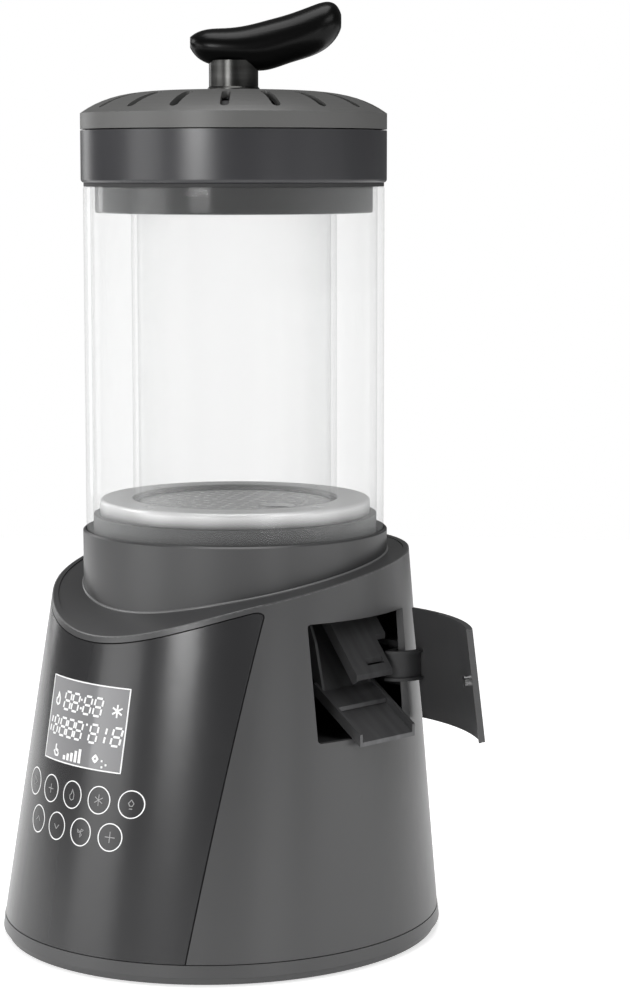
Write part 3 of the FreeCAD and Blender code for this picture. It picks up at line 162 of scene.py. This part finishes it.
def finish(name, colour, rough, metal=0.0, coat=0.0, coat_rough=0.1, specular=0.5):
    """A new material with its Principled shader set, ready for grain."""
    material = bpy.data.materials.new(name)
    material.use_nodes = True
    shader = material.node_tree.nodes["Principled BSDF"]
    shader.inputs["Base Color"].default_value = (*colour, 1.0)
    shader.inputs["Roughness"].default_value = rough
    shader.inputs["Metallic"].default_value = metal
    shader.inputs["Coat Weight"].default_value = coat
    shader.inputs["Coat Roughness"].default_value = coat_rough
    shader.inputs["Specular IOR Level"].default_value = specular
    return material


def place_texture(material, kind, scale, stretch=(1, 1, 1)):
    """A procedural texture in the object's own coordinates."""
    tree = material.node_tree
    where = tree.nodes.new("ShaderNodeTexCoord")
    mapping = tree.nodes.new("ShaderNodeMapping")
    mapping.inputs["Scale"].default_value = stretch
    texture = tree.nodes.new(kind)
    texture.inputs["Scale"].default_value = scale
    tree.links.new(where.outputs["Object"], mapping.inputs["Vector"])
    tree.links.new(mapping.outputs["Vector"], texture.inputs["Vector"])
    return texture


def grain(material, scale, strength, depth=0.0001, stretch=(1, 1, 1)):
    """Fine bumps all over a finish."""
    tree = material.node_tree
    texture = place_texture(material, "ShaderNodeTexNoise", scale, stretch)
    texture.inputs["Detail"].default_value = 3
    bump = tree.nodes.new("ShaderNodeBump")
    bump.inputs["Strength"].default_value = strength
    bump.inputs["Distance"].default_value = depth
    tree.links.new(texture.outputs["Fac"], bump.inputs["Height"])
    shader = tree.nodes["Principled BSDF"]
    tree.links.new(bump.outputs["Normal"], shader.inputs["Normal"])


def cloud(material, scale, low, high, stretch=(1, 1, 1)):
    """Roughness that wanders between two values."""
    tree = material.node_tree
    texture = place_texture(material, "ShaderNodeTexNoise", scale, stretch)
    texture.inputs["Detail"].default_value = 2
    span = tree.nodes.new("ShaderNodeMapRange")
    span.inputs["To Min"].default_value = low
    span.inputs["To Max"].default_value = high
    tree.links.new(texture.outputs["Fac"], span.inputs["Value"])
    shader = tree.nodes["Principled BSDF"]
    tree.links.new(span.outputs["Result"], shader.inputs["Roughness"])


def tint(material, scale, dark, light, stretch=(1, 1, 1)):
    """Colour that drifts gently between two tones."""
    tree = material.node_tree
    texture = place_texture(material, "ShaderNodeTexNoise", scale, stretch)
    texture.inputs["Detail"].default_value = 2
    ramp = tree.nodes.new("ShaderNodeValToRGB")
    ramp.color_ramp.elements[0].color = (*dark, 1)
    ramp.color_ramp.elements[1].color = (*light, 1)
    ramp.color_ramp.elements[0].position = 0.35
    ramp.color_ramp.elements[1].position = 0.65
    tree.links.new(texture.outputs["Fac"], ramp.inputs["Fac"])
    shader = tree.nodes["Principled BSDF"]
    tree.links.new(ramp.outputs["Color"], shader.inputs["Base Color"])


print("finish helpers ready")

# %% [markdown]
# ### Plastics
# The body is a warm charcoal plastic with a satin skin. The panel is the same colour but
# glossier and a shade darker. The grip is nearly black and shiny from handling.

# %% Mix the plastics
satin = finish("satin_charcoal", (0.050, 0.050, 0.051), 0.34)
tint(satin, 9, (0.048, 0.048, 0.049), (0.053, 0.053, 0.054))
cloud(satin, 30, 0.31, 0.37)
grain(satin, 2600, 0.10)
lid_satin = finish("satin_lid", (0.030, 0.030, 0.033), 0.30)
tint(lid_satin, 9, (0.028, 0.028, 0.031), (0.032, 0.032, 0.035))
cloud(lid_satin, 30, 0.27, 0.33)
grain(lid_satin, 2600, 0.10)
dome_black = finish("dome_black", (0.10, 0.10, 0.098), 0.42)
tint(dome_black, 12, (0.094, 0.094, 0.092), (0.108, 0.108, 0.106))
grain(dome_black, 2200, 0.18)
panel_gloss = finish("panel_gloss", (0.020, 0.020, 0.021), 0.26)
tint(panel_gloss, 6, (0.018, 0.018, 0.019), (0.023, 0.023, 0.024))
cloud(panel_gloss, 22, 0.22, 0.27)
grain(panel_gloss, 3000, 0.04)
grip_gloss = finish("grip_gloss", (0.002, 0.002, 0.002), 0.26, specular=0.16)
cloud(grip_gloss, 60, 0.24, 0.34)
grain(grip_gloss, 900, 0.05)
inner_black = finish("inner_black", (0.018, 0.018, 0.019), 0.5)
tint(inner_black, 14, (0.016, 0.016, 0.017), (0.022, 0.022, 0.023))
grain(inner_black, 1800, 0.2)
seal_rubber = finish("seal_rubber", (0.02, 0.02, 0.021), 0.62)
cloud(seal_rubber, 40, 0.56, 0.7)
grain(seal_rubber, 1500, 0.2)
screen_grey = finish("screen_grey", (0.19, 0.19, 0.195), 0.16, coat=0.3, coat_rough=0.05)
print("plastics mixed")

# %% Paint a glow on the screen, from light to dark


def paint_screen_glow(material):
    """A soft diagonal fade across the screen, as a backlit panel has: a painted glow, lighter at
    one end and darker at the other.
    """
    tree = material.node_tree
    where = tree.nodes.new("ShaderNodeTexCoord")
    split = tree.nodes.new("ShaderNodeSeparateXYZ")
    reach = tree.nodes.new("ShaderNodeMapRange")
    reach.inputs["From Min"].default_value = -0.026
    reach.inputs["From Max"].default_value = 0.026
    ramp = tree.nodes.new("ShaderNodeValToRGB")
    ramp.color_ramp.elements[0].color = (0.30, 0.30, 0.305, 1)
    ramp.color_ramp.elements[1].color = (0.12, 0.12, 0.125, 1)
    tree.links.new(where.outputs["Object"], split.inputs["Vector"])
    tree.links.new(split.outputs["X"], reach.inputs["Value"])
    tree.links.new(reach.outputs["Result"], ramp.inputs["Fac"])
    shader = tree.nodes["Principled BSDF"]
    tree.links.new(ramp.outputs["Color"], shader.inputs["Base Color"])


# Painted glow: the screen's colour is lighter at one end and darker at the other.
paint_screen_glow(screen_grey)
cloud(screen_grey, 40, 0.13, 0.19)
print("screen graded")

# %% [markdown]
# ### Glass and metals
# The glass is clear and barely tinted. Sheet metal parts are brushed, turned parts are polished.

# %% Melt the glass and cut the metals
chamber_glass = finish("chamber_glass", (0.92, 0.93, 0.93), 0.05, specular=0.9)
cloud(chamber_glass, 20, 0.03, 0.07)


def clear_in_front(material, facing, edge):
    """See-through where the wall is seen face on; towards its sides more of its white colour shows,
    a painted reflection over the real gloss.
    """
    tree = material.node_tree
    turn_away = tree.nodes.new("ShaderNodeLayerWeight")
    turn_away.inputs["Blend"].default_value = 0.25
    cover = tree.nodes.new("ShaderNodeMapRange")
    cover.inputs["To Min"].default_value = facing
    cover.inputs["To Max"].default_value = edge
    tree.links.new(turn_away.outputs["Facing"], cover.inputs["Value"])
    tree.links.new(cover.outputs["Result"], tree.nodes["Principled BSDF"].inputs["Alpha"])


# Painted reflection: the white colour of the glass shows more towards its sides, on top of its real
# glossy reflection.
clear_in_front(chamber_glass, 0.035, 0.30)
floor_metal = finish("floor_metal", (0.80, 0.80, 0.80), 0.28, metal=0.3)
tint(floor_metal, 20, (0.76, 0.76, 0.76), (0.84, 0.84, 0.84))
cloud(floor_metal, 50, 0.2, 0.3)
grain(floor_metal, 1400, 0.05)
disc_side = finish("disc_side", (0.5, 0.5, 0.5), 0.30, metal=0.3)
cloud(disc_side, 50, 0.26, 0.34)
grain(disc_side, 1400, 0.05)


def fade_up(material, low, high, dark, light):
    """Colour that climbs from dark to light between two heights on a part, used as painted shade
    low on it.
    """
    tree = material.node_tree
    where = tree.nodes.new("ShaderNodeTexCoord")
    split = tree.nodes.new("ShaderNodeSeparateXYZ")
    climb = tree.nodes.new("ShaderNodeMapRange")
    climb.inputs["From Min"].default_value = low
    climb.inputs["From Max"].default_value = high
    ramp = tree.nodes.new("ShaderNodeValToRGB")
    ramp.color_ramp.elements[0].color = (*dark, 1)
    ramp.color_ramp.elements[1].color = (*light, 1)
    tree.links.new(where.outputs["Object"], split.inputs["Vector"])
    tree.links.new(split.outputs["Z"], climb.inputs["Value"])
    tree.links.new(climb.outputs["Result"], ramp.inputs["Fac"])
    shader = tree.nodes["Principled BSDF"]
    tree.links.new(ramp.outputs["Color"], shader.inputs["Base Color"])


plug_metal = finish("plug_metal", (0.012, 0.012, 0.012), 0.16, metal=1.0)
tint(plug_metal, 16, (0.009, 0.009, 0.009), (0.016, 0.016, 0.016))
cloud(plug_metal, 45, 0.09, 0.18)
sheet_metal = finish("sheet_metal", (0.10, 0.10, 0.103), 0.36, metal=0.6)
tint(sheet_metal, 30, (0.09, 0.09, 0.092), (0.115, 0.115, 0.118), (1, 8, 1))
grain(sheet_metal, 500, 0.12, stretch=(1, 14, 1))
bright_metal = finish("bright_metal", (0.72, 0.72, 0.72), 0.18, metal=1.0)
cloud(bright_metal, 120, 0.12, 0.26)
grain(bright_metal, 900, 0.05, stretch=(1, 1, 6))
post_metal = finish("post_metal", (0.06, 0.06, 0.058), 0.3, metal=0.9)
tint(post_metal, 40, (0.05, 0.05, 0.048), (0.075, 0.075, 0.073), (1, 1, 9))
grain(post_metal, 700, 0.08, stretch=(1, 1, 12))
zinc_plate = finish("zinc_plate", (0.42, 0.43, 0.45), 0.35, metal=0.9)
tint(zinc_plate, 80, (0.38, 0.39, 0.41), (0.46, 0.47, 0.49))
grain(zinc_plate, 1200, 0.1)
copper_wire = finish("copper_wire", (0.55, 0.27, 0.14), 0.34, metal=0.9)
tint(copper_wire, 60, (0.50, 0.24, 0.12), (0.60, 0.30, 0.16))
grain(copper_wire, 900, 0.2, stretch=(1, 1, 12))
board_green = finish("board_green", (0.03, 0.16, 0.07), 0.4)
tint(board_green, 120, (0.025, 0.14, 0.06), (0.035, 0.18, 0.08))
grain(board_green, 1400, 0.1)
mica_sheet = finish("mica_sheet", (0.5, 0.43, 0.32), 0.45)
tint(mica_sheet, 60, (0.42, 0.35, 0.25), (0.56, 0.49, 0.38))
grain(mica_sheet, 500, 0.2)
print_white = finish("print_white", (0.86, 0.86, 0.86), 0.45)
tint(print_white, 200, (0.84, 0.84, 0.84), (0.9, 0.9, 0.9))
grain(print_white, 2500, 0.08)
print_faint = finish("print_faint", (0.30, 0.30, 0.30), 0.5)
tint(print_faint, 200, (0.28, 0.28, 0.28), (0.33, 0.33, 0.33))
# Painted highlight: the edge beads are lighter than the body plastic they round, to show the line
# of light along each edge.
painted_highlight_edge = finish("painted_highlight_edge", (0.14, 0.14, 0.141), 0.28)
tint(painted_highlight_edge, 20, (0.13, 0.13, 0.131), (0.155, 0.155, 0.156))
grain(painted_highlight_edge, 2600, 0.05)
floor_paint = finish("floor_paint", (0.8, 0.8, 0.8), 0.7, specular=0.1)
floor_shader = floor_paint.node_tree.nodes["Principled BSDF"]
floor_shader.inputs["Emission Color"].default_value = (1, 1, 1, 1)
floor_shader.inputs["Emission Strength"].default_value = 0.62
floor.data.materials.append(floor_paint)
print("materials:", len(bpy.data.materials))

# %% [markdown]
# ### Dress the engineering parts
# Every part of the model has one material slot. This table says which finish goes on which part.

# %% Assign a finish to every part
DRESS = {
    "satin_charcoal": "body_shell top_deck neck_collar foot_ring door_panel",
    "satin_lid": "lid_ring",
    "dome_black": "lid_cap",
    "panel_gloss": "control_panel",
    "screen_grey": "display_window",
    "grip_gloss": "grip_lower grip_upper",
    "inner_black": "base_plate chute_frame door_arm hinge_bracket vent_mesh relays motor_mount"
    " gate_solenoid impeller",
    "seal_rubber": "collar_gasket foot_pad chamber_seal inner_seal_lower inner_seal_upper"
    " lid_gasket cord_gland",
    "chamber_glass": "inner_glass outer_glass",
    "disc_side": "chamber_base",
    "floor_metal": "air_plate",
    "plug_metal": "collector_plug chaff_cup chaff_screen",
    "sheet_metal": "chute_tray deflector_plate discharge_duct plenum_funnel heater_tube"
    " blower_housing bean_gate",
    "bright_metal": "motor_shaft hinge_pin gate_plunger temperature_probe door_magnet",
    "post_metal": "handle_post display_module",
    "zinc_plate": "base_screws blower_motor handle_screw cap_nut thermal_fuse touch_springs",
    "copper_wire": "heater_coils transformer",
    "board_green": "control_board power_board",
    "mica_sheet": "heater_frame",
}
for material_name, names in DRESS.items():
    for node_name in names.split():
        for material_slot in nodes[node_name].material_slots:
            material_slot.material = bpy.data.materials[material_name]
base_heights = [corner[2] for corner in nodes["chamber_base"].bound_box]
base_low, base_high = min(base_heights), max(base_heights)
# Painted shade: the chamber base is near black below its top few millimetres, where the gap under
# the disc lies in shade.
fade_up(disc_side, base_high - 0.0075, base_high - 0.001, (0.004, 0.004, 0.004), (0.75, 0.75, 0.75))
print("chamber base from", round(base_low, 4), "to", round(base_high, 4))
dressed = sum(len(names.split()) for names in DRESS.values())
print("dressed", dressed, "of", len(nodes))

# %% [markdown]
# ## Printing on the panel
# The white marks are screen printed on the curved panel. A print is a real layer of ink, so each
# mark here is a thin closed strip that follows the curve and stands a tenth of a millimetre
# proud. A flat picture would slide on the curve, and a strip keeps a crisp edge at any size.

# %% Follow the panel's curve
PROUD = 0.10
SUNK = 0.06


SHELL_FOOT, SHELL_RISE = 9.5, 172.5
FOOT_HALF_X, TAPER_X = 93, 18
FOOT_HALF_Y, TAPER_Y = 97.5, 22.5
FOOT_SET_FORWARD = 8.5


def shell_oval(up, proud=0.0):
    """Half widths and middle of the shell's oval at a height, in millimetres."""
    share = (up - SHELL_FOOT) / SHELL_RISE
    half_x = FOOT_HALF_X - TAPER_X * share + proud
    half_y = FOOT_HALF_Y - TAPER_Y * share + proud
    return half_x, half_y, -FOOT_SET_FORWARD * (1 - share)


def skin_point(across, up, proud=0.0):
    """A point on the curved front, from millimetres across and up."""
    half_x, half_y, centre = shell_oval(up, proud)
    depth = centre - half_y * math.sqrt(1 - (across / half_x) ** 2)
    return (across * MM, depth * MM, up * MM)


def divided(line, closed, step=1.5):
    """The same line with a point at least every step."""
    ends = list(zip(line, line[1:] + line[:1]))
    if not closed:
        ends.pop()
    points = []
    for (x0, z0), (x1, z1) in ends:
        parts = max(1, math.ceil(math.hypot(x1 - x0, z1 - z0) / step))
        for i in range(parts):
            points.append((x0 + (x1 - x0) * i / parts, z0 + (z1 - z0) * i / parts))
    if not closed:
        points.append(line[-1])
    return points


def strip(ink, line, wide, closed=False):
    """Adds a thin raised strip along a line to the ink's points and faces."""
    points = divided(line, closed)
    count = len(points)
    start = len(ink["points"])
    for i, (x, z) in enumerate(points):
        before = points[i - 1] if closed or i else points[i]
        after = points[(i + 1) % count] if closed or i < count - 1 else points[i]
        run = (after[0] - before[0], after[1] - before[1])
        length = math.hypot(*run) or 1.0
        side = (-run[1] / length * wide / 2, run[0] / length * wide / 2)
        left = (x + side[0], z + side[1])
        right = (x - side[0], z - side[1])
        ink["points"] += [
            skin_point(*left, -SUNK),
            skin_point(*left, PROUD),
            skin_point(*right, PROUD),
            skin_point(*right, -SUNK),
        ]
    for i in range(count if closed else count - 1):
        a = start + 4 * i
        b = start + 4 * ((i + 1) % count)
        for k in range(4):
            m = (k + 1) % 4
            ink["faces"].append((a + k, a + m, b + m, b + k))
    if not closed:
        last = start + 4 * (count - 1)
        ink["faces"].append((start + 3, start + 2, start + 1, start))
        ink["faces"].append((last, last + 1, last + 2, last + 3))


def lay_piece(name, points, faces, material, smooth=False):
    """Makes one object from points and faces, and lets it ride on the base."""
    mesh = bpy.data.meshes.new(name)
    mesh.from_pydata(points, [], faces)
    if smooth:
        mesh.shade_smooth()
    mesh.materials.append(bpy.data.materials[material])
    thing = bpy.data.objects.new(name, mesh)
    bpy.context.scene.collection.objects.link(thing)
    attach(thing, "base")
    print(name, "faces:", len(faces))


# %% [markdown]
# ### The display
# The display shows slanted seven-bar digits, small pictures and a row of rising bars. Each digit
# is a set of short strips, so one loop draws them all.

# %% Draw the digits
SLANT = math.tan(math.radians(9))
SCREEN_LEFT, SCREEN_TOP = -24.5, 119.3
SCREEN_WIDE, SCREEN_TALL = 49.0, 35.0
BARS = {
    "top": ((-1, 1), (1, 1)),
    "middle": ((-1, 0), (1, 0)),
    "bottom": ((-1, -1), (1, -1)),
    "high left": ((-1, 0), (-1, 1)),
    "high right": ((1, 0), (1, 1)),
    "low left": ((-1, -1), (-1, 0)),
    "low right": ((1, -1), (1, 0)),
}
ONE = ("high right", "low right")


def on_screen(u, v):
    """Millimetres across and up, from shares of the screen."""
    return (SCREEN_LEFT + SCREEN_WIDE * u, SCREEN_TOP - SCREEN_TALL * v)


def digit(ink, u, v, bars=tuple(BARS), tall=7.4, wide=4.3, line=0.85):
    """One slanted digit made of separate bars."""
    x, z = on_screen(u, v)
    for bar in bars:
        (x0, z0), (x1, z1) = BARS[bar]
        ends = [(x0 * wide / 2, z0 * tall / 2), (x1 * wide / 2, z1 * tall / 2)]
        run = (ends[1][0] - ends[0][0], ends[1][1] - ends[0][1])
        length = math.hypot(*run)
        gap = 0.62 / length
        trimmed = [
            (ends[0][0] + run[0] * gap, ends[0][1] + run[1] * gap),
            (ends[1][0] - run[0] * gap, ends[1][1] - run[1] * gap),
        ]
        strip(ink, [(x + px + pz * SLANT, z + pz) for px, pz in trimmed], line)


def dot(ink, u, v, size=0.9):
    """A small square mark."""
    x, z = on_screen(u, v)
    strip(ink, [(x - size / 2, z), (x + size / 2, z)], size)


screen_ink = {"points": [], "faces": []}
for u in (0.276, 0.394, 0.554, 0.681):
    digit(screen_ink, u, 0.265)
for v in (0.215, 0.315):
    dot(screen_ink, 0.474, v)
digit(screen_ink, 0.055, 0.58, ONE, wide=0.0)
digit(screen_ink, 0.135, 0.58, wide=3.2, line=0.75)
for u in (0.252, 0.365, 0.478):
    digit(screen_ink, u, 0.58)
dot(screen_ink, 0.578, 0.49)
for u in (0.665, 0.915):
    digit(screen_ink, u, 0.58)
digit(screen_ink, 0.80, 0.58, ONE, wide=0.0)
print("digit faces:", len(screen_ink["faces"]))

# %% Draw the small pictures and the frame


def picture(ink, centre, size, lines, line=0.45):
    """Strokes given in a square from -1 to 1, round a centre in millimetres."""
    for stroke in lines:
        closed = stroke[0] == stroke[-1]
        points = stroke[:-1] if closed else stroke
        strip(
            ink, [(centre[0] + x * size / 2, centre[1] + z * size / 2) for x, z in points],
            line, closed,
        )


def star(arms):
    """Strokes that cross in the middle, as a snow crystal has."""
    turns = [math.pi * i / arms for i in range(arms)]
    return [[(-math.sin(a), -math.cos(a)), (math.sin(a), math.cos(a))] for a in turns]


FLAME = [
    [(0, 1), (0.55, 0.1), (0.5, -0.7), (0, -1), (-0.5, -0.7), (-0.55, -0.1), (-0.15, 0.2), (0, 1)]
]
HAND = [
    [(-0.2, 0.9), (-0.2, -0.1)],
    [(0.1, 0.2), (0.1, -0.2)],
    [(0.4, 0.1), (0.4, -0.3)],
    [(-0.7, -0.1), (-0.2, -0.8), (0.5, -0.8), (0.6, -0.3)],
]
DIAMOND = [[(0, 0.8), (0.8, 0), (0, -0.8), (-0.8, 0), (0, 0.8)]]
picture(screen_ink, on_screen(0.12, 0.27), 5.2, FLAME, 0.8)
picture(screen_ink, on_screen(0.89, 0.28), 5.4, star(3), 0.7)
picture(screen_ink, on_screen(0.195, 0.87), 5.4, HAND, 0.8)
picture(screen_ink, on_screen(0.72, 0.865), 3.4, DIAMOND, 1.0)
for u, v in ((0.795, 0.88), (0.80, 0.95), (0.84, 0.92)):
    dot(screen_ink, u, v, 0.8)
for i, tall in enumerate((0.05, 0.08, 0.10, 0.135, 0.165)):
    u = 0.325 + 0.052 * i
    strip(screen_ink, [on_screen(u, 0.955), on_screen(u, 0.955 - tall)], 1.5)
frame_shares = [(0.006, 0.008), (0.994, 0.008), (0.994, 0.992), (0.006, 0.992)]
strip(screen_ink, [on_screen(u, v) for u, v in frame_shares], 0.5, closed=True)
lay_piece("screen_print", screen_ink["points"], screen_ink["faces"], "print_white")

# %% [markdown]
# ### The touch keys
# Nine thin rings mark where a finger goes. They are touch keys, so nothing moves. Inside each
# ring is a small plain sign, drawn with the same strips but in a greyer ink.

# %% Draw the rings and their signs
KEY_PITCH, KEY_RADIUS = 15.4, 5.6
KEY_ROWS = [(72.6, (-2, -1, 0, 1, 2)), (58.3, (-1.5, -0.5, 0.5, 1.5))]
ARROW_UP = [[(-0.7, -0.3), (0, 0.5), (0.7, -0.3)]]
ARROW_DOWN = [[(-0.7, 0.3), (0, -0.5), (0.7, 0.3)]]
PLAY = [[(-0.5, 0.8), (0.8, 0), (-0.5, -0.8), (-0.5, 0.8)]]
BLADE_TIP, BLADE_BACK, BLADE_SWEEP = 0.9, 0.6, 0.7
BLADES = [
    [
        (0, 0),
        (BLADE_TIP * math.cos(a), BLADE_TIP * math.sin(a)),
        (BLADE_BACK * math.cos(a + BLADE_SWEEP), BLADE_BACK * math.sin(a + BLADE_SWEEP)),
        (0, 0),
    ]
    for a in (0.5, 2.6, 4.7)
]
PLUS = [[(-0.8, 0), (0.8, 0)], [(0, -0.8), (0, 0.8)]]
LAMP = [
    [(-0.5, 0.2), (0, 0.8), (0.5, 0.2), (0.25, -0.3), (-0.25, -0.3), (-0.5, 0.2)],
    [(-0.3, -0.8), (0.3, -0.8)],
]
SIGNS = [PLAY, PLUS, FLAME, star(3), LAMP, ARROW_UP, ARROW_DOWN, BLADES, star(2)]
ring_ink = {"points": [], "faces": []}
sign_ink = {"points": [], "faces": []}
turns = [math.tau * i / 40 for i in range(40)]
places = [(step * KEY_PITCH, up) for up, steps in KEY_ROWS for step in steps]
for (x, z), sign in zip(places, SIGNS):
    circle = [(x + KEY_RADIUS * math.cos(a), z + KEY_RADIUS * math.sin(a)) for a in turns]
    strip(ring_ink, circle, 0.42, closed=True)
    picture(sign_ink, (x, z), 4.6, sign, 0.32)
lay_piece("key_rings", ring_ink["points"], ring_ink["faces"], "print_white")
lay_piece("key_signs", sign_ink["points"], sign_ink["faces"], "print_faint")

# %% [markdown]
# ## Soft edges
# No moulded edge is perfectly sharp. The rounded lip of the shell and the fillet at the foot of the
# collar each catch a thin line of light. A slim bead laid along the edge rounds it, and its colour,
# lighter than the body, is a painted highlight that shows that line.

# %% Lay the beads


def bead(name, path, radius, material, sides=8):
    """A closed slim tube along a closed path given in millimetres."""
    count = len(path)
    points = []
    for i, place in enumerate(path):
        here = Vector(place)
        ahead = (Vector(path[(i + 1) % count]) - Vector(path[i - 1])).normalized()
        out = Vector((0, 0, 1)).cross(ahead).normalized()
        up = ahead.cross(out).normalized()
        for k in range(sides):
            a = math.tau * k / sides
            points.append((here + out * radius * math.cos(a) + up * radius * math.sin(a)) * MM)
    faces = []
    for i in range(count):
        for k in range(sides):
            m = (k + 1) % sides
            n = (i + 1) % count
            faces.append((i * sides + k, i * sides + m, n * sides + m, n * sides + k))
    lay_piece(name, points, faces, material, smooth=True)


DECK_BEND_Y = -45
FRONT_BOW = {"radius": 117.8, "y": -18.5, "z": 39.9}
REAR_BOW = {"radius": 541, "y": 76.7, "z": -372.5}


def deck_height(y):
    """Height of the deck line at a place from front to back."""
    bow = FRONT_BOW if y < DECK_BEND_Y else REAR_BOW
    return bow["z"] + math.sqrt(bow["radius"] ** 2 - (y - bow["y"]) ** 2)


BEAD, COLLAR_BEAD = 0.55, 0.7
COLLAR_RADIUS, DECK_SUNK = 66.5, 0.4
START_HEIGHT, ROUNDS, STEPS = 150.0, 40, 240
rim_path, collar_path = [], []
for i in range(STEPS):
    a = math.tau * i / STEPS
    up = START_HEIGHT
    for _ in range(ROUNDS):
        half_x, half_y, centre = shell_oval(up, -BEAD)
        y = centre - half_y * math.cos(a)
        up = deck_height(y) - BEAD * 0.8
    half_x, half_y, centre = shell_oval(up, -BEAD)
    rim_path.append((half_x * math.sin(a), y, up))
    y = -COLLAR_RADIUS * math.cos(a)
    collar_path.append((COLLAR_RADIUS * math.sin(a), y, deck_height(y) - DECK_SUNK))
# Both beads take the lighter edge colour, a painted highlight.
bead("rim_bead", rim_path, BEAD, "painted_highlight_edge")
bead("collar_bead", collar_path, COLLAR_BEAD, "painted_highlight_edge")
